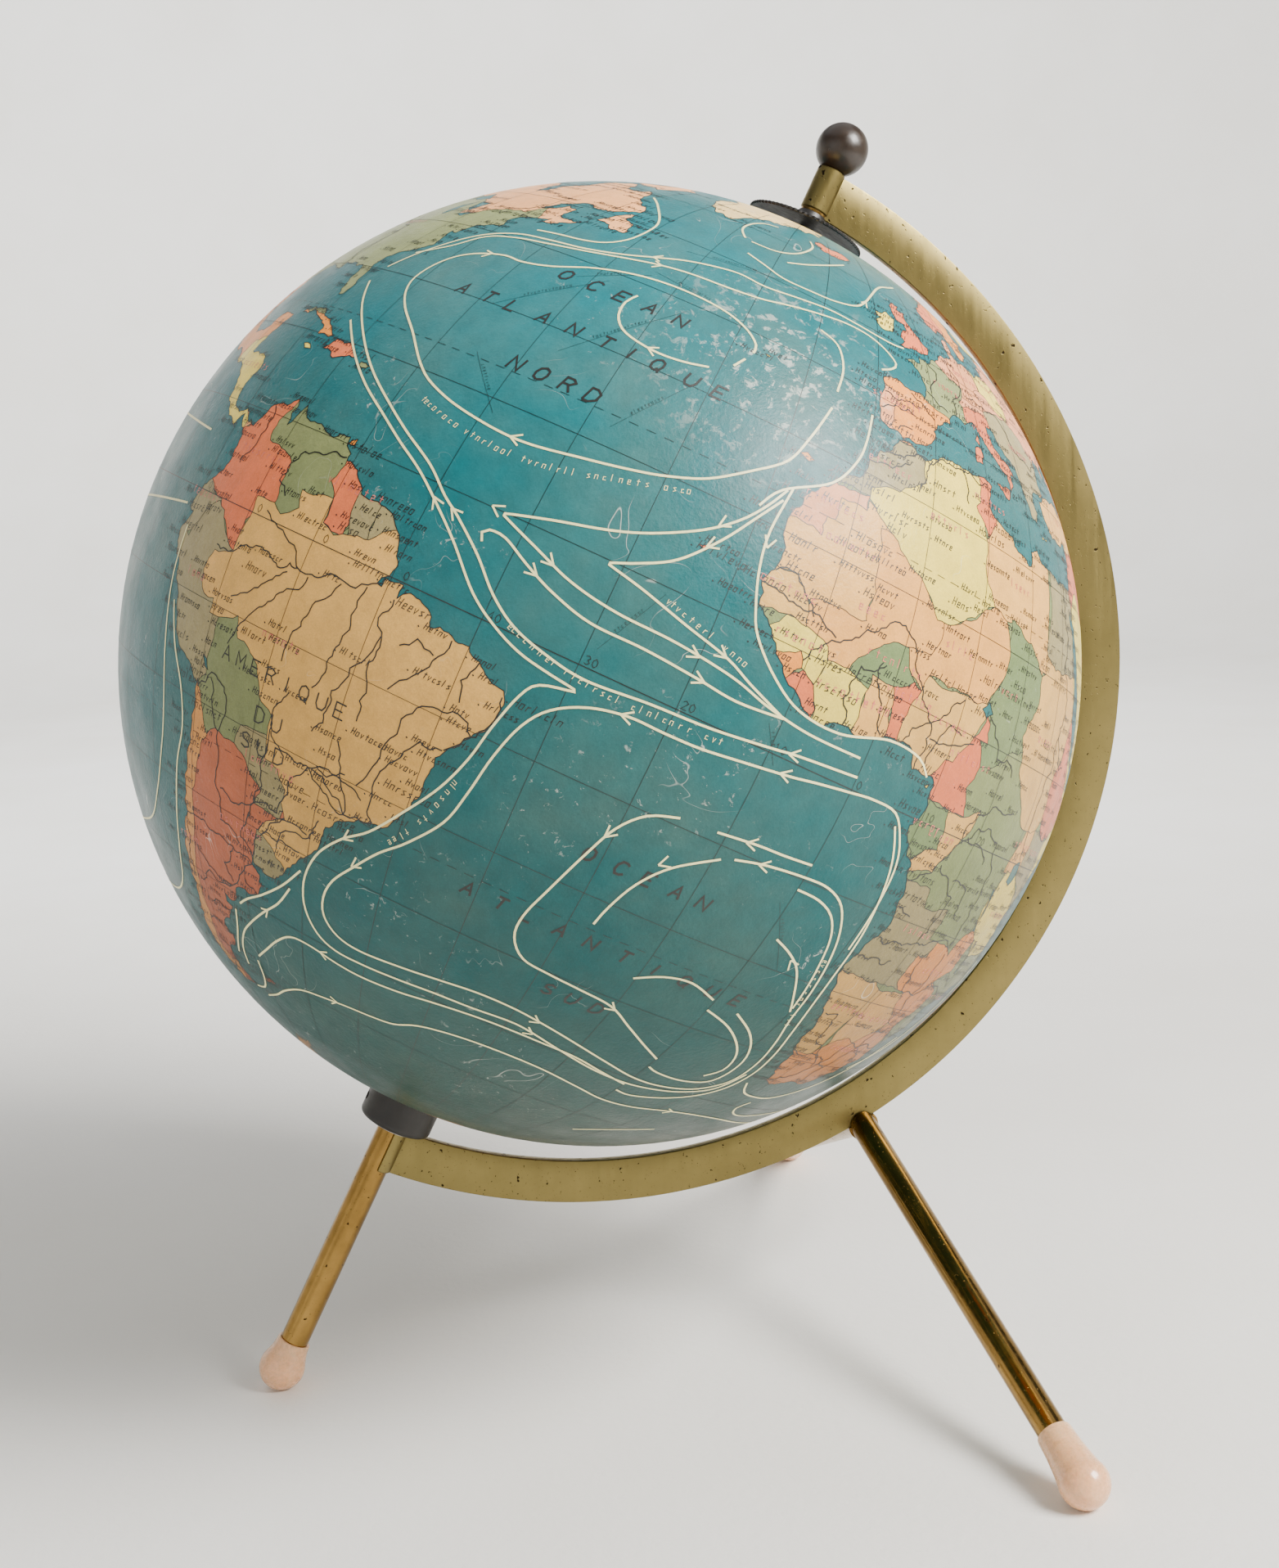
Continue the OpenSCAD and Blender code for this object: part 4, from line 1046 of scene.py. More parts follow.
CURRENTS = (
    "-22,24.4 -26,21.5 -29.8,19.9 -33,19 -38,18 -45,17 -52,17.6 -57,18.9 -60,20.5 -64,23.5 -68,26 -70.3,28 "
    "-71.3,30 -70.8,32.5 -69.2,34.6 -66.5,36 -63,36.8 -60,36.7 -56,37.5 -51,39.5 -46,40.8 -41,41.4 "
    "-36,41.4 -32,40.9 -29,39.8 -27.3,38.4 -27.2,37.2",
    "-27.8,36 -28.7,34.5", "-20.3,21.2 -18.5,23.8 -13.5,27 -11.2,30.6 -10.5,33.5 -10.3,37",
    "-22,24.4 -19,27 -17.4,30.6 -15.8,35.3", "-15.6,37.6 -15.4,41.2 -16.8,44.1 -19.7,45.1",
    "-43.5,38 -44.2,36.5 -43.8,34.5 -42.3,33 -40,32.3 -37,32 -34,32.3 -31.2,33",
    "-76.5,33.5 -72.4,35.9 -69.4,38.8 -65.3,40 -60,40.7 -54.7,41.5 -50,42.5 -44.7,43.7 -40,44.4 -34.1,44.8 "
    "-29.4,45.4 -25.3,46.5 -20.6,47.6 -15.9,48.4 -11.8,48.4 -8.8,47.6 -6.8,46.2 -7.6,45 -9.4,44",
    "-78,30.5 -75.5,34 -71,38.5 -66,40.7 -60,41.4 -55,41.9 -50,43.1 -45.5,44.8 -42,46.2 -38,47.3 -34,48 "
    "-29.5,47.8 -24,48.6 -19,49.3 -14,49.3 -10,49.2 -7,49.3 -4.8,49.7",
    "-35,52.8 -31.2,51.8 -27.6,50.9 -22.9,51 -18.2,51.5 -14.1,52.9 -12,55 -10.3,57.4 -8.2,60 -5.9,61.8 "
    "-2.9,63.2 0,64.6",
    "-60,58 -57.1,56.5 -54.1,54.4 -51.8,52.4 -50.7,50.6 -50.7,48.2 -51.5,45.9 -53.5,44.1 -56.5,43.2 "
    "-60.6,42.8 -64.1,42.4",
    "-37.4,56.2 -39.1,57.9 -39.5,59.7 -38.8,61.8 -37.1,63.5 -34.1,64.4",
    "-35.9,55.9 -31.2,56.2 -27.6,57.9 -25.3,60.6 -24.4,62.9 -25.3,64.7",
    "-28.2,54.7 -24.7,56.5 -20.6,59.1 -16.2,62.1",
    "-18,24 -19.5,21.5 -21.5,19 -24.5,16.5 -29,14 -33,12.5 -38,11.2 -42.5,9.9 -42.5,9.7 -38.1,8.1 "
    "-33.8,6.6 -28.8,5.8 -22.5,5.6 -16.3,4.9 -11.9,3.8 -6.9,3.1 -.6,3.1",
    "-18.1,22.8 -20,20 -22.5,16.3 -25.6,12.8 -28.8,10.9 -31.3,9.8 -31.3,9.6 -27.5,8.8 -22.5,7.5 -17.5,6.3 "
    "-14.4,5 -10,3.4",
    "-17.5,24.4 -18.3,19.4 -18,15.6 -16.9,11.9 -15.6,9.4 -12.5,6.6 -8.8,4.7 -3.8,4.4 1.9,5.9 6.3,5.6 "
    "8.2,4.2",
    "-43.3,6.6 -43.7,7.4 -43.1,7.9 -41.3,7.8 -38.4,6.4 -35,5 -30.6,3.9 -25,3.8 -19.4,3.4 -15,3 -10,3.4",
    "-78,28 -75,25 -70,21.3 -65,18 -60,15.3 -56.3,13.4 -51.9,11.3 -48.8,9.1 -46.6,7.8 -43.1,5.3 -40,2.5 "
    "-36.9,.6 -33.1,-.5 -28.8,-1.1 -22.5,-.6 -16.3,-.3 -10,.4 -6.9,.8 0,1.3",
    "-74,22.5 -69,19 -64.5,16.3 -60,14.1 -56.3,12.2 -52.5,10.3 -48.8,7.8 -45.6,5.3 -41.9,1.9 -38.8,0 "
    "-35.6,-1.3 -32.5,-1.9 -29.4,-2.3 -29.3,-2.5 -32.5,-3.3 -33.8,-5 -35,-8.8 -35.9,-12.5 -37.5,-16.3 "
    "-40,-20 -43.1,-23.8 -46,-26 -48.5,-28.7 -49.8,-31.5 -50.1,-34 -49.5,-36.5 -47.5,-38.8 -44.5,-39.9 "
    "-40,-39.9 -35,-39.5 -30,-39 -25,-38.7 -20,-38.3 -17,-38.5 -12,-39.5 -6,-40.6 0,-41 5,-40.5 9,-39.5 "
    "12.5,-37.5 14,-34",
    "10.6,-15 10.3,-8.8 9.7,-5 8.4,-2.5 6.3,-.3 3,0 0,-.3 -3.8,-.8 -6.9,-1.3 -11.9,-1.9 -16.3,-2.4 "
    "-20,-2.5 -23.8,-2.5 -27.5,-3.3 -30.6,-5 -32.5,-7.5 -33.8,-11.3 -34.7,-15.6 -35.9,-19.4 -38.8,-23.1 "
    "-41.5,-25.6 -44,-28.5 -46.2,-31.2 -47.1,-33.7 -46.7,-36 -44.5,-37.7 -41,-38.2 -35,-37.6 -30,-36.9 "
    "-25,-36.3 -20,-36.3 -15,-36.9 -10,-37.8 -5,-38.8 0,-39.7 4.7,-39.7 9.3,-38.7 12,-37 13.3,-35 "
    "13.3,-31.7 12.3,-28.3 11,-25 10.3,-21 9.3,-17 8,-13.7 6,-11 3.3,-9.8 0,-9.7 -4.7,-10.1 -8,-10.8",
    "9.8,-23.5 9.3,-21 8.5,-18 7.3,-14.5 5.5,-12.3 3,-11.3 0,-11.1",
    "-9.3,-11.3 -13.3,-14 -15.7,-17 -17,-20.3 -17.5,-22.7", "0,-8.3 -3.3,-8.5 -6.7,-8.6 -11,-9",
    "-15,-9.2 -18,-10.3 -20.2,-12.7 -21.7,-16.3 -23.3,-21 -24.5,-25 -24.3,-27.7 -22.3,-29.7 -18.7,-30.2 "
    "-14.7,-30.5 -10.3,-31 -6.7,-32.7 -3.3,-34.3 0,-35.7",
    "-10.3,-26.7 -7.3,-25.2 -4,-24.7 -.3,-25.7",
    "3.7,-26.3 7.3,-28 9.7,-30 11,-32.3 11,-35 9.7,-36.9 6,-37.8 2,-37.7 .2,-37.2",
    "0,-27.1 4,-28.2 7.3,-30 9.3,-32 9.8,-34.3 8.3,-36", "1.3,-16.7 4,-17.7 6.3,-19.2 8.7,-22.3 9.9,-24",
    "7,-1.5 8.8,-4.5 10,-8 11,-13 11.4,-18.3 12,-22.3 13,-26.3 14.3,-30.3 14.8,-33.7 13.9,-37 11.3,-39.7 "
    "7.3,-41.7 2.7,-42.9 0,-42.7",
    "-50.7,-32 -53.3,-35 -56.7,-37.7 -60,-39.7 -61.7,-41",
    "-52.1,-34.9 -54,-37.7 -57,-40.3 -60,-43 -62.3,-45.3 -64,-48.3 -64.3,-51",
    "-63,-42.3 -63.7,-45 -65,-47.7 -66,-49.7",
    "-60,-48 -57.3,-45.7 -54.7,-43.3 -52,-41.5 -48.7,-41.2 -44,-41.7 -40,-41.8 -34.7,-41.3 -30,-40.5 "
    "-24.7,-39.8 -20,-39.5 -14.7,-39.5 -9.3,-39.7 -4.7,-40.5 0,-41.3",
    "-62.3,-55.7 -58.7,-54 -55.3,-51.7 -51.3,-49.7 -46.7,-48.7 -42,-48 -37.3,-47.5 -34,-46.9 -30.7,-45.3 "
    "-26.7,-44.3 -22,-43.7 -16.7,-43.5 -11.3,-43.7 -5.3,-44.5 0,-45.3 5.3,-45.1 11.3,-44 16.7,-43.5 "
    "23.3,-43.5 30,-44 45,-45 60,-46 80,-47 100,-46",
    "-65,-55 -62,-54 -60.7,-51.7 -60.7,-49", "16,-35.3 18,-37 21.3,-37.5 25.3,-37.1 30,-34.5 34,-30 37,-24",
    "22.7,-38.7 22,-40.3 24,-41.7 28,-42 36,-41 48,-40 60,-40", "5.3,-54.7 10.7,-51.7 16.7,-49",
    "-78,-11.7 -76,-15.7 -73.3,-19.7 -72.3,-23.7 -73.3,-27.7 -74.3,-33 -76,-39 -79,-44 -86,-47 -100,-48 "
    "-120,-47",
    "-80,-4 -79.6,-10 -78,-17 -77,-22.3 -77.3,-27 -80,-33 -86,-38 -100,-41",
    "-82,-2 -95,-3 -115,-4 -140,-5 -165,-6", "-85,6 -105,7 -130,7 -160,6", "-110,17 -125,13 -145,11 -170,12",
    "-125,40 -122,33 -118,26 -115,20", "-175,38 -160,41 -145,43 -132,45 -127,50 -135,56 -148,57",
    "145,35 155,38 168,40 178,41", "125,14 124,20 128,27 134,32 142,34", "50,-8 65,-10 85,-12 105,-13",
    "42,-12 41,-18 38,-25 33,-30", "55,5 65,7 78,6 90,5",
    "60,-30 58,-38 70,-42 90,-42 108,-38 112,-30 108,-24 95,-20 75,-20 62,-24 60,-30",
    "155,-22 156,-30 153,-38 160,-42 170,-38", "-150,-25 -165,-30 -170,-40 -155,-45 -135,-44",
    "170,12 160,11 145,12 132,13",
)
ARROWS = (
    "-44,17.1 -46,17 -37,32 -38.5,32.1 -45,43.6 -44,43.8 -45,44.9 -46,44.7 -42.6,9.9 -44,10.1 -36.9,7.7 "
    "-36,7.3 -37.8,6.1 -37,5.8 -18.6,6.6 -17.6,6.3 -19.4,3.4 -18.6,3.35 -20.8,5.4 -20,5.3 -22.7,18.2 "
    "-23.3,17.5 -22.9,15.8 -23.6,15.1 -18,18.5 -18,17.6 -46.6,7.8 -47.6,8.3 -48.8,7.8 -49.8,8.6 -7,.8 "
    "-8,.6 -7,-1.3 -8,-1.4 -23.5,-2.5 -24.5,-2.6 -6.7,-8.6 -7.8,-8.8 -4.2,-10.1 -5.4,-10.3 -20.2,-12.7 "
    "-20.8,-13.9 -10.6,-31 -9.6,-31.3 -17.5,-36.6 -16.4,-36.8 -17.3,-38.6 -16.2,-38.8 5.6,-19 4.6,-18.3 "
    "-45.2,-48.4 -44,-48.2 -56.8,-40.2 -56,-39.5 -46,-41.4 -47,-41.3 11.3,-44 12.4,-43.8 -13.7,-13.4 "
    "-14.7,-14.3 -45,-25.1 -45.9,-26 -43.3,-27.5 -44.2,-28.5 -66.5,36 -65,36.5 -12.5,53.9 -12,55"
).split()
LETTERS = {
    "A": "0,0 .5,1 1,0;.2,.38 .8,.38", "C": "1,.85 .7,1 .3,1 .05,.7 .05,.3 .3,0 .7,0 1,.15",
    "D": "0,0 0,1 .5,1 .95,.75 .95,.25 .5,0 0,0", "E": "1,0 0,0 0,1 1,1;0,.5 .8,.5", "I": ".5,0 .5,1",
    "L": "0,1 0,0 .9,0", "M": "0,0 0,1 .5,.35 1,1 1,0", "N": "0,0 0,1 1,0 1,1",
    "O": ".5,0 .12,.15 0,.5 .12,.85 .5,1 .88,.85 1,.5 .88,.15 .5,0",
    "Q": ".5,0 .12,.15 0,.5 .12,.85 .5,1 .88,.85 1,.5 .88,.15 .5,0;.6,.25 1,-.12",
    "R": "0,0 0,1 .6,1 .92,.8 .6,.52 0,.52;.5,.5 1,0",
    "S": ".95,.85 .5,1 .1,.85 .15,.6 .85,.4 .95,.15 .5,0 .05,.15", "T": ".5,0 .5,1;0,1 1,1",
    "U": "0,1 0,.3 .25,0 .75,0 1,.3 1,1", "0": ".5,0 .15,.3 .15,.7 .5,1 .85,.7 .85,.3 .5,0",
    "1": ".25,.8 .5,1 .5,0", "2": ".1,.8 .5,1 .9,.75 .1,0 .95,0",
    "3": ".1,.9 .6,1 .85,.75 .5,.52 .9,.25 .5,0 .1,.1", "4": ".7,0 .7,1 .1,.3 .95,.3",
}


TONES = {
    "c": srgb(244, 188, 98), "y": srgb(255, 228, 96), "s": srgb(242, 122, 76), "p": srgb(255, 190, 98),
    "q": srgb(255, 180, 90), "r": srgb(252, 164, 108), "o": srgb(255, 156, 58), "k": srgb(168, 154, 108),
    "g": srgb(142, 152, 100), "h": srgb(124, 146, 96), "b": srgb(240, 162, 78), "w": srgb(20, 112, 118),
    "SA": srgb(134, 146, 96), "CA": srgb(255, 180, 116), "RU": srgb(250, 164, 116), "GR": srgb(250, 214, 140),
    "AF": srgb(138, 152, 98), "AN": srgb(240, 172, 96), "sea": srgb(0, 104, 112), "m": srgb(206, 108, 72),
}


def read_points(text: str) -> list:
    """Reads lon,lat pairs from a string.

    Args:
        text: pairs such as "-5,36 1,36.5".

    Returns:
        A list of (lon, lat).
    """
    return [tuple(float(v) for v in pair.split(",")) for pair in text.split()]


def crinkle(a: tuple, b: tuple, share: float, least: float) -> list:
    """Breaks a straight reach into a natural one by moving its middle sideways.

    Args:
        a: its start.
        b: its end.
        share: sideways move as a share of its length.
        least: length below which a reach stays straight, in degrees.

    Returns:
        The points from a up to, but without, b.
    """
    length = math.dist(a, b)
    if length < least or length > 60 or (abs(a[0]) > 179 and abs(b[0]) > 179):
        return [a]
    low, high = sorted((a, b))
    push = Random(f"{low}{high}").uniform(-share, share)
    mid = ((a[0] + b[0]) / 2 - push * (high[1] - low[1]), (a[1] + b[1]) / 2 + push * (high[0] - low[0]))
    return crinkle(a, mid, share, least) + crinkle(mid, b, share, least)


def crinkled(points: list, share: float, least: float, closed: bool = True) -> list:
    """Crinkles every reach of a line.

    Args:
        points: the points of the line.
        share: sideways move as a share of a reach.
        least: length below which a reach stays straight, in degrees.
        closed: whether the last point joins the first.

    Returns:
        The points of the crinkled line.
    """
    out = []
    for a, b in zip(points, points[1:] + points[:1] if closed else points[1:]):
        out += crinkle(a, b, share, least)
    return out if closed else out + points[-1:]


def curved(points: list, step: float) -> list:
    """Runs a smooth curve through points.

    Args:
        points: the points of the line.
        step: greatest distance between points of the curve, in degrees.

    Returns:
        The points of the curve.
    """
    p = [np.array(q) for q in [points[0], *points, points[-1]]]
    out = []
    for a, b, c, d in zip(p, p[1:], p[2:], p[3:]):
        count = max(1, math.ceil(np.linalg.norm(c - b) / step))
        for k in range(count):
            t = k / count
            out.append(0.5 * (2 * b + (c - a) * t + (2 * a - 5 * b + 4 * c - d) * t * t
                              + (3 * b - a - 3 * c + d) * t ** 3))
    return [tuple(q) for q in out] + [points[-1]]


def inside(points: np.ndarray, loop: np.ndarray) -> np.ndarray:
    """Tells which points lie inside a closed loop, by the even-odd rule.

    Args:
        points: points in rows.
        loop: the corners of the loop in rows.

    Returns:
        True for each point inside.
    """
    hit = np.zeros(len(points), bool)
    low, high = loop.min(0), loop.max(0)
    near = np.flatnonzero(((points >= low) & (points <= high)).all(1))
    if not len(near):
        return hit
    x, y = points[near, 0:1], points[near, 1:2]
    a, b = loop, np.roll(loop, -1, 0)
    step = b[:, 1] - a[:, 1]
    step = np.where(step == 0, 1e-12, step)
    cross = (a[:, 1] > y) != (b[:, 1] > y)
    left = x < (b[:, 0] - a[:, 0]) * (y - a[:, 1]) / step + a[:, 0]
    hit[near] = (cross & left).sum(1) % 2 == 1
    return hit


@dataclass
class InkSheet:
    """Thin ribbons of one ink on a sphere."""

    axes: GlobeAxes
    radius: float
    corners: list = field(default_factory=list)
    faces: list = field(default_factory=list)

    def unit(self, lon: float, lat: float) -> Vector:
        """Returns the direction of a map position in the globe frame."""
        a, b = math.radians(lon - self.axes.bow_longitude), math.radians(lat)
        return Vector((math.cos(b) * math.cos(a), math.cos(b) * math.sin(a), math.sin(b)))

    def line(self, points: list, width: float) -> None:
        """Lays a ribbon along map positions.

        Args:
            points: (lon, lat) of the line.
            width: width of the ribbon in mm.
        """
        rays = [self.unit(*p) for p in points]
        rays = [r for i, r in enumerate(rays) if not i or (r - rays[i - 1]).length > 1e-6]
        if len(rays) < 2:
            return
        start = len(self.corners)
        for i, ray in enumerate(rays):
            ahead = (rays[min(i + 1, len(rays) - 1)] - ray).normalized()
            back = (ray - rays[max(i - 1, 0)]).normalized()
            run = ahead + back
            if run.length < 0.3:
                run = ahead if ahead.length else back
            side = ray.cross(run).normalized()
            bend = run.normalized().dot(ahead) if i < len(rays) - 1 else 1
            half = width / 2 / self.radius / max(0.5, bend)
            self.corners += [ray + side * half, ray - side * half]
        for i in range(len(rays) - 1):
            k = start + 2 * i
            self.faces.append((k + 1, k + 3, k + 2, k))

    def strokes(self, text: str, spot: tuple, size: float, width: float, lean: float = 0.25,
                turn: float = 0) -> None:
        """Draws strokes given in a unit square at a map position.

        Args:
            text: strokes as points, parted by semicolons.
            spot: (lon, lat) of the lower left corner.
            size: height in degrees.
            width: width of the stroke in mm.
            lean: how far the strokes lean forward.
            turn: angle of the writing in degrees.
        """
        c, s = math.cos(math.radians(turn)), math.sin(math.radians(turn))
        wide = 1 / max(0.2, math.cos(math.radians(spot[1])))
        for stroke in text.split(";"):
            line = []
            for x, y in read_points(stroke):
                x = (x * 0.78 + y * lean) * size
                y *= size
                line.append((spot[0] + (x * c - y * s) * wide, spot[1] + x * s + y * c))
            self.line(line, width)

    def piece(self, name: str) -> bpy.types.Object:
        """Makes the ribbons one mesh.

        Args:
            name: name of the piece.

        Returns:
            The piece, shaded as the sphere is.
        """
        m = self.axes.matrix()
        rays = [c.normalized() for c in self.corners]
        piece = new_piece(name, [m @ (r * self.radius * MM) for r in rays], [], self.faces)
        piece.data.polygons.foreach_set("use_smooth", [True] * len(self.faces))
        turn = m.to_3x3()
        piece.data.normals_split_custom_set_from_vertices([turn @ r for r in rays])
        return piece


@dataclass
class WorldMap:
    """The printed map: twelve gores, two pole caps and the inks on them."""

    axes: GlobeAxes
    paper_r: float = 124.87
    ink_r: float = 124.92
    top_ink_r: float = 124.94
    sheet: float = 0.2
    cap_latitude: float = 76.0
    gore_count: int = 12
    grid: float = 2.0
    coast: float = 0.2
    border: float = 0.16
    river: float = 0.3
    current: float = 0.52
    rng: Random = field(default_factory=lambda: Random(7))

    def loops(self) -> list:
        """Reads every closed outline, the lowest first.

        Returns:
            (kind, tone, points) of each, in lon and lat.
        """
        out = [("land", tone, crinkled(read_points(text), 0.17, 0.75)) for tone, text in LANDS.values()]
        for kind, _, tone, text in TINTS:
            points = read_points(text)
            out.append(("lake" if kind == "w" else "tint", tone, crinkled(points, 0.12, 1.0)))
        return out

    def project(self, points: np.ndarray, chart: Chart) -> np.ndarray:
        """Projects lon and lat on a chart.

        Args:
            points: (lon, lat) in rows.
            chart: the chart.

        Returns:
            Chart positions in degrees.
        """
        if chart is Chart.GORES:
            return points
        sign = 1 if chart is Chart.NORTH else -1
        reach = 90 - sign * points[:, 1]
        turn = np.radians(points[:, 0])
        return np.stack([reach * np.cos(turn), sign * reach * np.sin(turn)], 1)

    def unproject(self, points: np.ndarray, chart: Chart) -> np.ndarray:
        """Turns chart positions back to lon and lat.

        Args:
            points: chart positions in rows.
            chart: the chart.

        Returns:
            (lon, lat) in rows.
        """
        if chart is Chart.GORES:
            return points
        sign = 1 if chart is Chart.NORTH else -1
        reach = np.hypot(points[:, 0], points[:, 1])
        lon = np.degrees(np.arctan2(sign * points[:, 1], points[:, 0]))
        return np.stack([lon, sign * (90 - reach)], 1)

    def frame_lines(self, chart: Chart) -> list:
        """Draws the lines that every sheet of a chart is cut along.

        Args:
            chart: the chart.

        Returns:
            The lines, each a list of chart positions.
        """
        if chart is not Chart.GORES:
            ring = [(14.0 * math.cos(a), 14.0 * math.sin(a)) for a in np.radians(np.arange(0, 360, 3))]
            rings = [ring + ring[:1]]
            for r in (11, 8, 5, 2):
                count = max(8, r * 3)
                loop = [(r * math.cos(a), r * math.sin(a)) for a in np.linspace(0, 2 * math.pi, count + 1)]
                rings.append(loop[:-1] + loop[:1])
            return rings
        step = self.grid
        lats = np.arange(-self.cap_latitude, self.cap_latitude + 0.1, step)
        lons = np.arange(-180, 180.1, step)
        lines = [[(float(lon), float(lat)) for lat in lats] for lon in np.arange(-180, 181, 30)]
        lines += [[(float(lon), lat) for lon in lons] for lat in (-self.cap_latitude, self.cap_latitude)]
        return lines

    def cut(self, chart: Chart) -> tuple:
        """Cuts a chart into faces along every outline.

        Args:
            chart: the chart.

        Returns:
            Points in lon and lat, triangles, and each triangle's class and tone.
        """
        loops = self.loops()
        points, edges = [], []

        def add(line: list, closed: bool) -> None:
            """Adds a line of the chart.

            Args:
                line: its chart positions.
                closed: whether its last point joins its first.
            """
            base = len(points)
            points.extend(line)
            edges.extend((base + i, base + i + 1) for i in range(len(line) - 1))
            if closed:
                edges.append((base + len(line) - 1, base))

        for line in self.frame_lines(chart):
            add(line, False)
        flat = []
        for kind, tone, loop in loops:
            loop = np.array(loop)
            if chart is Chart.NORTH and loop[:, 1].max() < 70 or chart is Chart.SOUTH:
                flat.append(None)
                continue
            shape = self.project(loop, chart)
            flat.append(shape)
            add([tuple(p) for p in shape], True)
        if chart is Chart.GORES:
            lats = np.arange(-self.cap_latitude + self.grid, self.cap_latitude, self.grid)
            for j, lat in enumerate(lats):
                for lon in np.arange(-179 + (j % 2), 180, self.grid):
                    points.append((float(lon), float(lat)))
        verts, _, faces, *_ = delaunay_2d_cdt([Vector(p) for p in points], edges, [], 0, 1e-5)
        verts = np.array([tuple(v) for v in verts])
        faces = np.array([tuple(f) for f in faces if len(f) == 3])
        middle = verts[faces].mean(1)
        if chart is Chart.GORES:
            keep = (abs(middle[:, 1]) < self.cap_latitude) & (abs(middle[:, 0]) < 180)
        else:
            keep = np.hypot(middle[:, 0], middle[:, 1]) < 13.99
        faces, middle = faces[keep], middle[keep]
        land = np.full(len(faces), -1)
        for i, (kind, tone, _) in enumerate(loops):
            if flat[i] is None:
                continue
            hit = inside(middle, flat[i])
            if kind == "land":
                land[hit] = i
            elif kind == "tint":
                land[hit & (land >= 0)] = i
            else:
                land[hit] = -2
        if chart is Chart.SOUTH:
            land[:] = next(i for i, loop in enumerate(loops) if loop[1] == "AN")
        tones = [TONES[loop[1]] for loop in loops]
        water = {-1: TONES["sea"], -2: TONES["w"]}
        colours = np.array([water[k] if k in water else tones[k] for k in land])
        return self.unproject(verts, chart), faces, land, colours

    def sheet_piece(self, name: str, ll: np.ndarray, faces: np.ndarray,
                    colours: np.ndarray) -> bpy.types.Object:
        """Makes one sheet of paper with its thickness.

        Args:
            name: name of the piece.
            ll: lon and lat of the points.
            faces: triangles.
            colours: a colour for each triangle.

        Returns:
            The piece, with its print as a corner attribute.
        """
        used, index = np.unique(faces, return_inverse=True)
        tri = index.reshape(-1, 3)
        ll = ll[used]
        top = self.axes.points(ll[:, 0], ll[:, 1], self.paper_r)
        low = self.axes.points(ll[:, 0], ll[:, 1], self.paper_r - self.sheet)
        a, b, c = (top[tri[:, k]] for k in range(3))
        out = (np.cross(b - a, c - a) * (a - np.array(self.axes.centre))).sum(1) < 0
        tri[out] = tri[out][:, ::-1]
        count = len(top)
        edge = np.concatenate([tri[:, [0, 1]], tri[:, [1, 2]], tri[:, [2, 0]]])
        owner = np.tile(np.arange(len(tri)), 3)
        key = np.sort(edge, 1) @ np.array([count, 1])
        _, first, times = np.unique(key, return_index=True, return_counts=True)
        rim = first[times == 1]
        skirt = [(int(q), int(p), int(p) + count, int(q) + count) for p, q in edge[rim]]
        polys = [tuple(map(int, t)) for t in tri]
        polys += [tuple(int(v) + count for v in t[::-1]) for t in tri] + skirt
        piece = new_piece(name, np.concatenate([top, low]).tolist(), [], polys)
        mesh = piece.data
        tint = np.concatenate([np.repeat(colours, 3, 0), np.repeat(colours, 3, 0),
                               np.repeat(colours[owner[rim]], 4, 0)])
        layer = mesh.color_attributes.new("map_colour", "FLOAT_COLOR", "CORNER")
        layer.data.foreach_set("color", np.concatenate([tint, np.ones((len(tint), 1))], 1).ravel())
        smooth_faces = np.zeros(len(polys), bool)
        smooth_faces[:len(tri)] = True
        mesh.polygons.foreach_set("use_smooth", smooth_faces)
        rays = top - np.array(self.axes.centre)
        rays = rays / np.linalg.norm(rays, axis=1)[:, None]
        normals = np.zeros((len(tint), 3))
        normals[:3 * len(tri)] = rays[tri.ravel()]
        mesh.normals_split_custom_set(normals.tolist())
        return piece

    def edge_lines(self, sheet: InkSheet, ll: np.ndarray, faces: np.ndarray, land: np.ndarray) -> None:
        """Inks the coasts and borders.

        Args:
            sheet: the ink that takes the lines.
            ll: lon and lat of the points.
            faces: triangles.
            land: the class of each triangle.
        """
        edge = np.sort(np.concatenate([faces[:, [0, 1]], faces[:, [1, 2]], faces[:, [2, 0]]]), 1)
        owner = np.tile(np.arange(len(faces)), 3)
        order = np.lexsort((edge[:, 1], edge[:, 0]))
        edge, owner = edge[order], owner[order]
        same = (edge[1:] == edge[:-1]).all(1)
        for k in np.flatnonzero(same):
            one, two = land[owner[k]], land[owner[k + 1]]
            if one == two:
                continue
            p, q = ll[edge[k, 0]], ll[edge[k, 1]]
            wide = self.coast if min(one, two) < 0 else self.border
            stretch = 0.02 / max(0.02, float(np.hypot(*(q - p))))
            more = (q - p) * stretch
            sheet.line([tuple(p - more), tuple(q + more)], wide)

    def graticule(self, sheet: InkSheet) -> None:
        """Inks the ten-degree net, the tropics and circles as dashes, and the degree numbers.

        Args:
            sheet: the ink that takes them.
        """
        for lon in range(-180, 180, 10):
            reach = 75.5 if lon % 30 == 0 else 70
            sheet.line([(lon, lat) for lat in np.arange(-reach, reach + 0.1, 1.5)], 0.13)
        for lat in range(-70, 80, 10):
            sheet.line([(lon, lat) for lon in np.arange(-180, 180.1, 1.5)], 0.2 if lat == 0 else 0.13)
        for lat in (-66.5, -23.4, 23.4, 66.5):
            for lon in np.arange(-180, 180, 2.0):
                sheet.line([(lon, lat), (lon + 1.1, lat)], 0.13)
        for lon in range(-180, 180, 10):
            for k, digit in enumerate(str(abs(lon))[:3]):
                if digit in LETTERS:
                    sheet.strokes(LETTERS[digit], (lon + 0.3 + 0.75 * k, 0.25), 0.85, 0.16, 0)

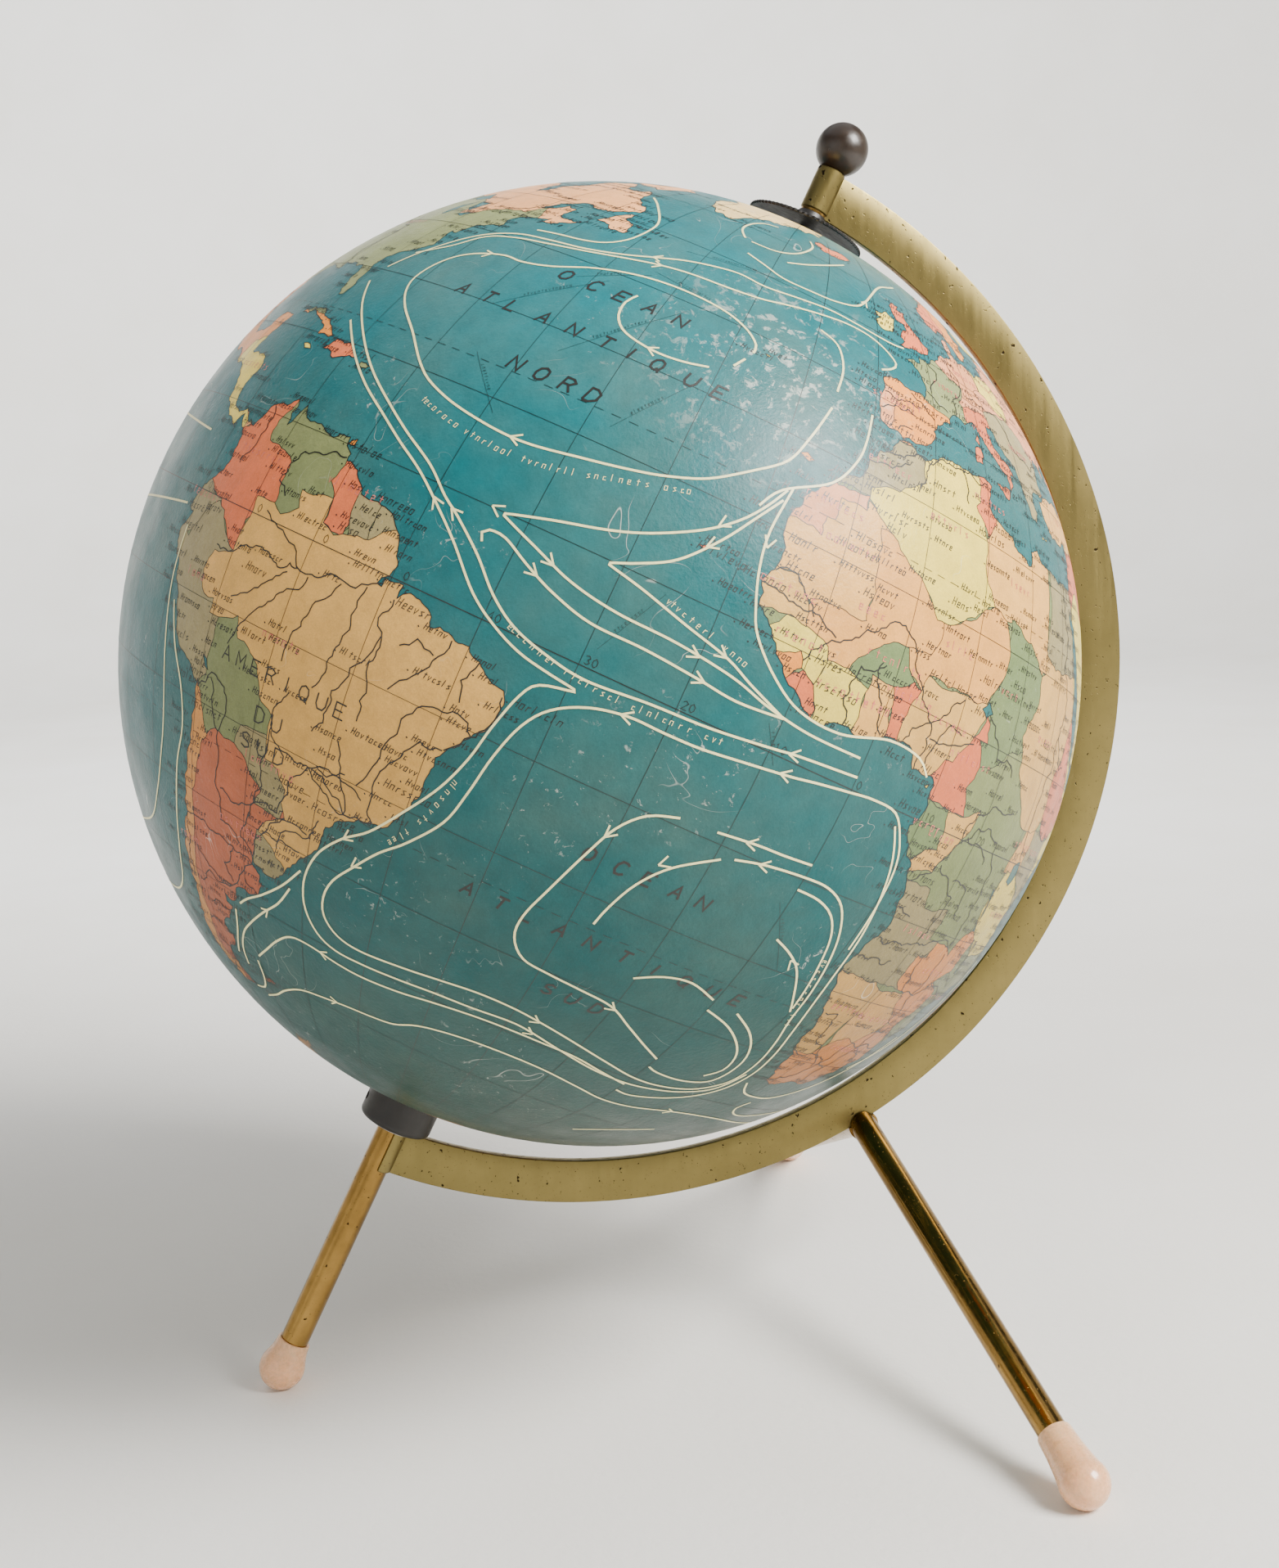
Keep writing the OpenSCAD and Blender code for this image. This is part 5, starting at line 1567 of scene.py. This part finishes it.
    def writing(self, dark: InkSheet, red: InkSheet, pale: InkSheet, spots: list) -> None:
        """Draws plain ocean names and rows of small marks where places are named.

        Args:
            dark: ink of the place marks.
            red: ink of the country marks.
            pale: ink of the currents.
            spots: (lon, lat) of places on land.
        """
        rows = (("OCEAN", 36.3, 1.5, (-54.2, -49.9, -46, -42, -37.9)),
                ("ATLANTIQUE", 29.9, 1.5, (-64, -60, -56.3, -52, -47.9, -43.8, -40.6, -37.3, -33.1, -29.7)),
                ("NORD", 23.6, 1.6, (-51, -47.8, -44.6, -41.6)),
                ("OCEAN", -16.8, 1.4, (-22.1, -18.6, -15.6, -12.3, -9.2)),
                ("ATLANTIQUE", -25.5, 1.4, (-31.8, -28, -24.7, -21, -17.4, -13.4, -9.5, -5.7, -2, 1.6)),
                ("SUD", -32.7, 1.4, (-18.8, -15.7, -12.4)))
        for word, lat, size, lons in rows:
            for letter, lon in zip(word, lons):
                dark.strokes(LETTERS[letter], (lon, lat), size, 0.56)
        for word, lat, size, lon, gap in (("AMERIQUE", -14.6, 1.5, -66.8, 2.3),
                                          ("DU", -18.9, 1.6, -60.2, 2.4),
                                          ("SUD", -22, 1.6, -61.6, 2.5)):
            for k, letter in enumerate(word):
                dark.strokes(LETTERS[letter], (lon + gap * k, lat), size, 0.34, 0)
        marks = ("0,0 0,.6 .5,.6 .5,0", ".5,.5 .1,.5 .1,.05 .6,.05", ".1,0 .1,1",
                 "0,.3 .5,.3 .5,.6 .1,.6 .1,0 .6,0", ".1,0 .1,.6;.1,.45 .5,.6", "0,.6 .25,0 .5,.6",
                 ".5,.6 .05,.5 .5,.15 .05,0", "0,0 .5,0 .5,.6 0,.6 0,0", ".3,0 .3,.9;.05,.6 .6,.6")
        for lon, lat in spots:
            size = 0.72 if self.rng.random() < 0.8 else 0.9
            count = self.rng.randint(4, 8)
            dark.strokes("0,0 .3,.3", (lon - 0.6, lat), 0.35, 0.4, 0)
            wide = 0.36 / max(0.3, math.cos(math.radians(lat)))
            for k in range(count):
                mark = "0,0 0,1;.55,0 .55,1;0,.5 .55,.5" if k == 0 else self.rng.choice(marks)
                dark.strokes(mark, (lon + wide * k * size / 0.5, lat), size, 0.19)
        for _, name, _, text in TINTS:
            loop = np.array(read_points(text))
            lon, lat = loop.mean(0)
            if len(loop) < 7 or abs(lat) > 66:
                continue
            for k in range(min(8, len(name))):
                red.strokes(self.rng.choice(marks), (lon - 2.6 + 0.95 * k, lat + 0.4), 0.95, 0.17, 0)
        for path in ("-57,16.9 -52,15.7 -46,15.1 -40,15.6 -34,17.2 -27,19.2",
                     "-37.5,.3 -33,-1 -27,-1.8 -20,-1.6 -14.5,-1.3", "-25,8.6 -20,7.3 -15.5,6.2",
                     "-36.5,-15 -38,-19.5 -41,-24", "8.5,-17 9.5,-22 11,-26"):
            line = curved(read_points(path), 0.85)
            for k, (p, q) in enumerate(zip(line, line[1:])):
                if k % 9 != 8:
                    turn = math.degrees(math.atan2(q[1] - p[1], q[0] - p[0]))
                    pale.strokes(self.rng.choice(marks), p, 0.72, 0.13, 0.1, turn)
        for path in ("-58,30 -48,38.5", "-47,27.5 -37,38.7", "-37.5,22 -32,30", "-55,24 -49,18.5",
                     "-44,42.5 -31,40.9", "-52,37.4 -44,41.7", "-43,48 -27,50.5", "-29,2 -25.3,9.3",
                     "-1,-13 4,-20", "-11.2,2.5 -9,-1"):
            (x0, y0), (x1, y1) = read_points(path)
            turn = math.degrees(math.atan2(y1 - y0, x1 - x0))
            dark.line([(x0 + (x1 - x0) * k / 8, y0 + (y1 - y0) * k / 8) for k in range(9)], 0.08)
            for k in range(int(math.dist((x0, y0), (x1, y1)) * 0.45 / 0.4)):
                t = 0.25 + k * 0.4 / math.dist((x0, y0), (x1, y1))
                spot = (x0 + (x1 - x0) * t, y0 + (y1 - y0) * t + 0.2)
                dark.strokes(self.rng.choice(marks), spot, 0.42, 0.08, 0.1, turn)

    def places(self, ll: np.ndarray, faces: np.ndarray, land: np.ndarray) -> list:
        """Picks places on land and along its shores, most of them round the Atlantic.

        Args:
            ll: lon and lat of the points.
            faces: triangles.
            land: the class of each triangle.

        Returns:
            (lon, lat) of the places.
        """
        middle = ll[faces].mean(1)
        shore = ll[np.intersect1d(faces[land >= 0], faces[land < 0])]
        picked: list = []
        for turn in range(11000):
            if turn % 2:
                lon, lat = shore[self.rng.randrange(len(shore))]
                lon, lat = lon + self.rng.uniform(-3.6, 2.0), lat + self.rng.uniform(-0.4, 0.4)
            else:
                k = self.rng.randrange(len(middle))
                if land[k] < 0:
                    continue
                lon, lat = middle[k]
            near = -85 < lon < 45 and -56 < lat < 60
            if abs(lat) > 68 or (not near and self.rng.random() < 0.7):
                continue
            wide, high = (3.4, 0.95) if near else (6, 2)
            if any(abs(lon - x) < wide and abs(lat - y) < high for x, y in picked):
                continue
            picked.append((float(lon), float(lat)))
            if len(picked) > 900:
                break
        return [(lon - 1.2, lat) for lon, lat in picked]

    def build(self) -> None:
        """Builds the sheets and the inks and fixes them to the globe."""
        rubbed = self.axes.matrix() @ (InkSheet(self.axes, self.paper_r).unit(-22, 37) * self.paper_r * MM)
        paper = MapPaper(bare_spot=tuple(rubbed)).build()
        dark, red, pale = (InkSheet(self.axes, r) for r in (self.ink_r, self.ink_r, self.top_ink_r))
        ll, faces, land, colours = self.cut(Chart.GORES)
        gore = np.clip((ll[faces].mean(1)[:, 0] + 180) // (360 / self.gore_count), 0, self.gore_count - 1)
        for k in range(self.gore_count):
            mine = gore == k
            piece = self.sheet_piece(f"map_gore_{k + 1:02d}", ll, faces[mine], colours[mine])
            fit(piece, Body.GLOBE, ("map_gores",) if k == 0 else (), paper)
        self.edge_lines(dark, ll, faces, land)
        spots = self.places(ll, faces, land)
        for chart, name, node in ((Chart.NORTH, "map_cap_north", "north_pole_cap"),
                                  (Chart.SOUTH, "map_cap_south", "south_pole_cap")):
            cap_ll, cap_faces, cap_land, cap_colours = self.cut(chart)
            piece = self.sheet_piece(name, cap_ll, cap_faces, cap_colours)
            fit(piece, Body.GLOBE, (node,), paper)
            self.edge_lines(dark, cap_ll, cap_faces, cap_land)
        self.graticule(dark)
        for text in RIVERS:
            dark.line(crinkled(read_points(text), 0.2, 0.8, False), self.river)
        for text in CURRENTS:
            pale.line(curved(read_points(text), 0.9), self.current)
        for tail, tip in zip(ARROWS[::2], ARROWS[1::2]):
            (x0, y0), (x1, y1) = read_points(tail)[0], read_points(tip)[0]
            run = math.dist((x0, y0), (x1, y1))
            ux, uy = (x1 - x0) / run, (y1 - y0) / run
            for side in (-0.62, 0.62):
                barb = (x1 - 1.15 * ux - side * uy, y1 - 1.15 * uy + side * ux)
                pale.line([barb, (x1, y1)], self.current * 0.8)
        self.writing(dark, red, pale, spots)
        inks = ((dark, "map_line_ink", Ink(srgb(6, 8, 8), srgb(26, 24, 18))),
                (red, "map_name_ink", Ink(srgb(196, 84, 74), srgb(216, 132, 116))),
                (pale, "map_current_ink", Ink(srgb(246, 236, 170), srgb(222, 218, 160))))
        for sheet, name, ink in inks:
            fit(sheet.piece(name), Body.GLOBE, (), ink.build(name))


# ------------------------------------------------------------------ the stand


@dataclass
class Band:
    """C-shaped band of two plates, an oval of three arcs, with its knuckle and saddle."""

    axes: GlobeAxes
    half_axis: float = 146.0
    half_bow: float = 151.5
    shift: float = 1.75
    width: float = 12.0
    plate: float = 1.5
    bevel: float = 0.3
    seam: float = 0.12
    knuckle_r: float = 3.8
    knuckle_low: float = 133.15
    saddle_r: float = 4.6
    leg_r: float = 3.8

    @property
    def arc_shift(self) -> float:
        """Distance from the oval's middle to the centres of its arcs."""
        return (self.half_bow - self.half_axis) * (1 + math.sqrt(0.5))

    def plate_piece(self, name: str, side: int) -> bpy.types.Object:
        """Sweeps one plate of the band through its three arcs.

        Args:
            name: name of the piece.
            side: -1 for the front plate, 1 for the back plate.

        Returns:
            The plate.
        """
        s, w, p, b, e = self.arc_shift, self.width, self.plate, self.bevel, self.seam
        end_r = self.half_axis + s
        profile = [(0, e), (-e, 0), (-w + e, 0), (-w, e), (-w, p - b), (-w + b * 0.3, p - b * 0.3),
                   (-w + b, p), (-b, p), (-b * 0.3, p - b * 0.3), (0, p - b)]
        points = [(0, side * y * MM, (-self.shift - s + end_r + r) * MM) for r, y in profile]
        count = len(points)
        piece = new_piece(name, points, [(i, (i + 1) % count) for i in range(count)], [])
        activate(piece)
        bpy.ops.object.mode_set(mode="EDIT")
        bpy.ops.mesh.select_all(action="SELECT")
        for cx, cz, sweep, steps in ((0, -self.shift - s, 45, 48), (s, -self.shift, 90, 96),
                                     (0, -self.shift + s, 44.4, 48)):
            bpy.ops.mesh.spin(steps=steps, angle=-math.radians(sweep), center=(cx * MM, 0, cz * MM),
                              axis=(0, 1, 0))
        bpy.ops.mesh.select_all(action="SELECT")
        bpy.ops.mesh.remove_doubles(threshold=1e-7)
        bpy.ops.mesh.select_all(action="DESELECT")
        bpy.ops.mesh.select_mode(type="EDGE")
        bpy.ops.mesh.select_non_manifold()
        bpy.ops.mesh.fill()
        bpy.ops.mesh.select_all(action="SELECT")
        bpy.ops.mesh.normals_make_consistent(inside=False)
        bpy.ops.object.mode_set(mode="OBJECT")
        return piece

    def ends(self, side: int) -> list:
        """Turns one half of the knuckle at the top and of the saddle at the bottom.

        Args:
            side: -1 for the front half, 1 for the back half.

        Returns:
            The two parts.
        """
        top = self.half_axis - self.shift
        k, low, high = self.knuckle_r, self.knuckle_low, top + 0.5
        wall = [(2.0, low), (k - 0.3, low), (k, low + 0.3), (k, high - 0.3), (k - 0.3, high), (2.0, high)]
        knuckle = spin_profile("knuckle", wall, 40, True, 180, 0 if side > 0 else 180)
        bottom = -self.half_axis - self.shift
        top = bottom + self.width
        bore, r = self.leg_r + 0.01, self.saddle_r
        cheek = [(bore, bottom + 0.2), (r - 0.2, bottom + 0.2), (r, bottom + 0.4), (r, top - 0.4),
                 (r - 0.2, top - 0.2), (bore, top - 0.2)]
        saddle = spin_profile("saddle", cheek, 24, True, 84, 0 if side > 0 else -84)
        return [knuckle, saddle]

    def build(self) -> None:
        """Builds both plates and fixes them to the stand."""
        brass = Brass(srgb(132, 118, 72), srgb(116, 104, 62), srgb(40, 32, 20), 0.36, 0.67)
        brass = brass.build("band_brass")
        for side, name, node in ((-1, "band_front", "band_front_plate"), (1, "band_back", "band_back_plate")):
            piece = join([self.plate_piece(name, side), *self.ends(side)])
            place(piece, self.axes.matrix())
            smooth(piece, 30)
            fit(piece, Body.STAND, (node,), brass)


@dataclass
class Legs:
    """Three brass tubes: one along the axis and two that spread from the bow of the band."""

    axes: GlobeAxes
    band: Band
    radius: float = 3.8
    axis_top: float = -135.5
    reach: float = 208.8
    spread: tuple = (82.2, 117.3)
    foot_h: float = 5.9
    angle: float = 36.3
    lug: float = 1.4
    lug_half: float = 1.8
    foot_r: float = 6.2
    necks: tuple = (8.2, 14.5)

    def seat(self, side: int) -> tuple:
        """Finds the line of a spread leg.

        Args:
            side: -1 for the front leg, 1 for the back leg.

        Returns:
            The matrix that places a part built along +z at the seat, and the leg's length in mm.
        """
        s = self.band.arc_shift
        r = self.band.half_bow - s + self.lug
        a = math.radians(self.angle)
        seat = Vector((s + r * math.cos(a), 0, -self.band.shift - r * math.sin(a))) * MM
        seat = self.axes.matrix() @ seat + Vector((0, side * self.lug_half * MM, 0))
        ahead, aside = self.spread
        foot = Vector((self.axes.centre.x + ahead * MM, side * aside * MM, self.foot_h * MM))
        run = foot - seat
        turn = run.to_track_quat("Z", "Y").to_matrix().to_4x4()
        return Matrix.Translation(seat) @ turn, run.length / MM

    def tube(self, name: str, low: float, high: float) -> bpy.types.Object:
        """Turns a plain tube with softened ends along z.

        Args:
            name: name of the piece.
            low: its lower end in mm.
            high: its upper end in mm.

        Returns:
            The tube.
        """
        r = self.radius
        profile = [(0, low), (r - 0.25, low), (r, low + 0.25), (r, (low + high) / 2), (r, high - 0.25),
                   (r - 0.25, high), (0, high)]
        return spin_profile(name, profile, 64, False)

    def foot(self, name: str, neck: float) -> bpy.types.Object:
        """Turns a bulb foot along +z, with its mouth lip round the tube.

        Args:
            name: name of the piece.
            neck: length from the ball's centre to the mouth, in mm.

        Returns:
            The foot, with its ball at the origin and its mouth upwards.
        """
        r, mouth = self.foot_r, self.radius + 0.75
        ball = arc(0, 0, r, -90, 20.5, 22)
        wide, high = ball[-1]
        waist = [(mouth + (wide - mouth) * (1 - t) ** 1.7, high + (neck - 0.5 - high) * t)
                 for t in (0.15, 0.3, 0.45, 0.6, 0.8, 1)]
        lip = [(mouth - 0.1, neck - 0.15), (mouth - 0.35, neck), (self.radius + 0.02, neck - 0.1),
               (self.radius + 0.02, 3.2), (0, 3.2)]
        return spin_profile(name, ball + waist + lip, 64, False)

    def build(self) -> None:
        """Builds the tubes and feet and fixes them to the stand."""
        brass = Brass(srgb(166, 132, 72), srgb(110, 84, 42), srgb(48, 32, 14), 0.17, 0.69).build("leg_brass")
        milk = Moulding(srgb(234, 180, 134), srgb(228, 168, 120), 0.26, 0.45, 0.3).build("foot_plastic")
        axis = self.axes.matrix() @ Matrix.Rotation(math.pi, 4, "X")
        tube = self.tube("leg_axis", -self.axis_top, self.reach - 3)
        foot = self.foot("foot_axis", self.necks[0])
        place(foot, self.axes.matrix() @ Matrix.Translation((0, 0, -self.reach * MM)))
        parts = [(place(tube, axis), foot, "axis_leg", "axis_foot")]
        for side, word in ((-1, "front"), (1, "back")):
            matrix, length = self.seat(side)
            tube = place(self.tube(f"leg_{word}", -8, length - 3), matrix)
            cut(tube, Vector((0, side * self.lug_half * MM, 0)), Vector((0, -side, 0)))
            foot = self.foot(f"foot_{word}", self.necks[1])
            down = matrix @ Matrix.Translation((0, 0, length * MM)) @ Matrix.Rotation(math.pi, 4, "X")
            parts.append((tube, place(foot, down), f"{word}_leg", f"{word}_foot"))
        for tube, foot, leg_node, foot_node in parts:
            cut(foot, Vector((0, 0, 0)), Vector((0, 0, -1)))
            for piece, slot, node, finish in ((tube, "leg_brass", leg_node, brass),
                                              (foot, "foot_plastic", foot_node, milk)):
                smooth(piece)
                fit(piece, Body.STAND, (node,), finish)
        for node in ("leg_lug", "dial_washer", "front_leg_stud", "back_leg_stud"):
            dress_node(node, brass)


@dataclass
class TopFittings:
    """Knob on top of the axle and the toothed hour dial under the band."""

    axes: GlobeAxes
    ball_r: float = 6.9
    knob_base: float = 144.75
    sink: float = 0.75
    dial_r: float = 16.0
    dial_low: float = 127.5
    teeth: int = 72
    tooth: float = 0.35
    hub_top: float = 132.5
    bore: float = 2.05

    def knob(self) -> bpy.types.Object:
        """Turns the ball, flat where it sits on the knuckle.

        Returns:
            The ball.
        """
        centre = self.knob_base + self.ball_r - self.sink
        low = math.degrees(math.asin((self.knob_base - centre) / self.ball_r))
        ball = arc(0, centre, self.ball_r, low, 90, 40)
        seat = [(0, self.knob_base), (ball[0][0] - 0.3, self.knob_base)]
        return spin_profile("knob", seat + ball, 72, False)

    def dial(self) -> bpy.types.Object:
        """Turns the dished disc and its hub, then cuts the teeth by drawing in every other point.

        Returns:
            The dial.
        """
        low, r = self.dial_low, self.dial_r
        profile = [(self.bore, low + 0.6), (6.8, low + 0.6), (r - 1.1, low + 0.05), (r - 0.2, low),
                   (r, low + 0.2), (r, low + 0.6), (r - 0.2, low + 0.8), (r - 1.1, low + 0.85),
                   (6.8, low + 1.4),
                   (5.0, low + 1.5), (4.7, low + 1.9), (3.75, self.hub_top - 0.2), (3.5, self.hub_top),
                   (self.bore, self.hub_top)]
        piece = spin_profile("dial", profile, self.teeth * 2, True)
        step = math.pi / self.teeth
        for v in piece.data.vertices:
            reach = math.hypot(v.co.x, v.co.y)
            if reach > (r - 0.5) * MM and round(math.atan2(v.co.y, v.co.x) / step) % 2:
                v.co.x *= 1 - self.tooth * MM / reach
                v.co.y *= 1 - self.tooth * MM / reach
        return piece

    def build(self) -> None:
        """Builds both and fixes them to the stand and the dial."""
        bakelite = Moulding(srgb(34, 23, 14), srgb(44, 31, 19), 0.33, 0.12).build("knob_bakelite")
        black = Moulding(srgb(12, 9, 8), srgb(20, 16, 13), 0.42, 0.0).build("dial_plastic")
        for piece, body, slot, node, finish, angle in (
                (self.knob(), Body.STAND, "knob_bakelite", "knob_ball", bakelite, 60),
                (self.dial(), Body.DIAL, "dial_plastic", "hour_dial", black, 25)):
            place(piece, self.axes.matrix())
            smooth(piece, angle)
            fit(piece, body, (node,), finish)


def dress_node(node: str, material: bpy.types.Material) -> None:
    """Gives one of the frame's nodes a finish.

    Args:
        node: name of the node.
        material: its finish.
    """
    target = frame["nodes"][node]
    if not target.material_slots:
        target.data.materials.append(material)
    for slot in target.material_slots:
        slot.material = material
    LOG.info("%s: dressed in %s", node, material.name)


@dataclass
class InnerParts:
    """Card shells, eyelets, axle, collar and washers, which keep their shapes from the frame."""

    def build(self) -> None:
        """Gives each of them its finish."""
        card = MapPaper().build("card", srgb(158, 128, 92))
        eyelet = Brass(srgb(196, 184, 148), srgb(140, 128, 92), srgb(60, 50, 34), 0.3, 0.7)
        eyelet = eyelet.build("eyelet_metal")
        steel = Brass(srgb(176, 176, 178), srgb(120, 120, 122), srgb(70, 62, 56), 0.25, 0.7).build("steel")
        collar = Moulding(srgb(9, 6, 4), srgb(18, 12, 8), 0.44, 0.0).build("collar_plastic")
        fibre = Moulding(srgb(124, 72, 40), srgb(94, 52, 30), 0.7).build("fibre")
        for finish, nodes in ((card, ("north_hemisphere", "south_hemisphere", "joining_hoop")),
                              (eyelet, ("north_ferrule", "south_ferrule")),
                              (steel, ("axle_rod", "collar_screw", "collar_washer")),
                              (collar, ("south_collar",)), (fibre, ("thrust_washer",))):
            for node in nodes:
                dress_node(node, finish)


# ------------------------------------------------------------------ the stage


@dataclass
class Studio:
    """Pale floor that rises at its far rim, soft window light and the camera."""

    axes: GlobeAxes
    floor_r: float = 2.2
    rim_h: float = 1.6
    lens: float = 43.63
    eye: tuple = (-0.09926, -0.49613, 0.05622)
    right: tuple = (0.97456, -0.21996, -0.04306)
    up: tuple = (0.07887, 0.15669, 0.98449)
    ahead: tuple = (0.20980, 0.96284, -0.17005)

    def floor(self) -> None:
        """Turns the floor and its rim and gives them pale paint."""
        r, h = self.floor_r, self.rim_h
        profile = [(0, 0), (r * 500, 0), (r * 800, 0)]
        profile += arc(r * 800, r * 200, r * 200, -90, 0, 12) + [(r * 1000, h * 1000)]
        piece = spin_profile("floor", profile, 96, False)
        bpy.ops.object.mode_set(mode="EDIT")
        bpy.ops.mesh.select_all(action="SELECT")
        bpy.ops.mesh.flip_normals()
        bpy.ops.object.mode_set(mode="OBJECT")
        smooth(piece, 60)
        g = Graph("floor_paint")
        shade = g.band(g.noise(6, 3, 0.6), 0.3, 0.7)
        g.set(Base_Color=g.mix(shade, srgb(240, 238, 234), srgb(234, 231, 225)), Roughness=0.6,
              Normal=g.bump(g.noise(300, 4, 0.6), 0.0002))
        piece.data.materials.append(g.material)

    def lamp(self, name: str, direction: tuple, distance: float, size: float, power: float,
             colour: tuple) -> None:
        """Adds a square soft light that faces the globe.

        Args:
            name: name of the light.
            direction: direction from the globe in the row frame.
            distance: distance from the globe in metres.
            size: side of the light in metres.
            power: its power in watts.
            colour: its colour.
        """
        spot = self.axes.centre + Vector(direction).normalized() * distance
        bpy.ops.object.light_add(type="AREA", location=spot)
        light = bpy.context.object
        light.name = name
        light.data.size = size
        light.data.energy = power
        light.data.color = colour
        light.rotation_euler = (self.axes.centre - spot).to_track_quat("-Z", "Y").to_euler()

    def camera(self) -> None:
        """Adds the camera."""
        data = bpy.data.cameras.new("camera")
        data.lens = self.lens
        data.sensor_width = 36
        data.clip_start = 0.01
        camera = bpy.data.objects.new("camera", data)
        bpy.context.scene.collection.objects.link(camera)
        turn = Matrix((self.right, self.up, [-v for v in self.ahead])).transposed().to_4x4()
        camera.matrix_world = Matrix.Translation(self.axes.centre + Vector(self.eye)) @ turn
        bpy.context.scene.camera = camera

    def build(self) -> None:
        """Builds the stage."""
        self.camera()
        self.floor()
        self.lamp("window", (0.60, -0.52, 0.61), 1.35, 0.6, 50, (1.0, 0.98, 0.94))
        self.lamp("room", (-0.75, -0.6, 0.35), 1.6, 1.4, 3, (0.93, 0.97, 1.0))
        self.lamp("ceiling", (0.0, 0.15, 1.0), 1.3, 1.6, 6, (1.0, 1.0, 1.0))
        self.lamp("backdrop", (0.1, 0.9, 1.0), 1.2, 1.2, 30, (0.95, 0.98, 1.0))
        bpy.context.object.rotation_euler = (math.radians(60), 0, 0)
        world = bpy.data.worlds.new("room")
        bpy.context.scene.world = world
        world.use_nodes = True
        sky = world.node_tree.nodes["Background"]
        sky.inputs["Color"].default_value = (0.86, 0.9, 1.0, 1)
        sky.inputs["Strength"].default_value = 0.14


def main() -> None:
    """Builds the whole globe in order."""
    axes = GlobeAxes.from_frame(frame)
    Studio(axes).build()
    band = Band(axes)
    band.build()
    Legs(axes, band).build()
    TopFittings(axes).build()
    InnerParts().build()
    WorldMap(axes).build()


if __name__ == "__main__":
    main()
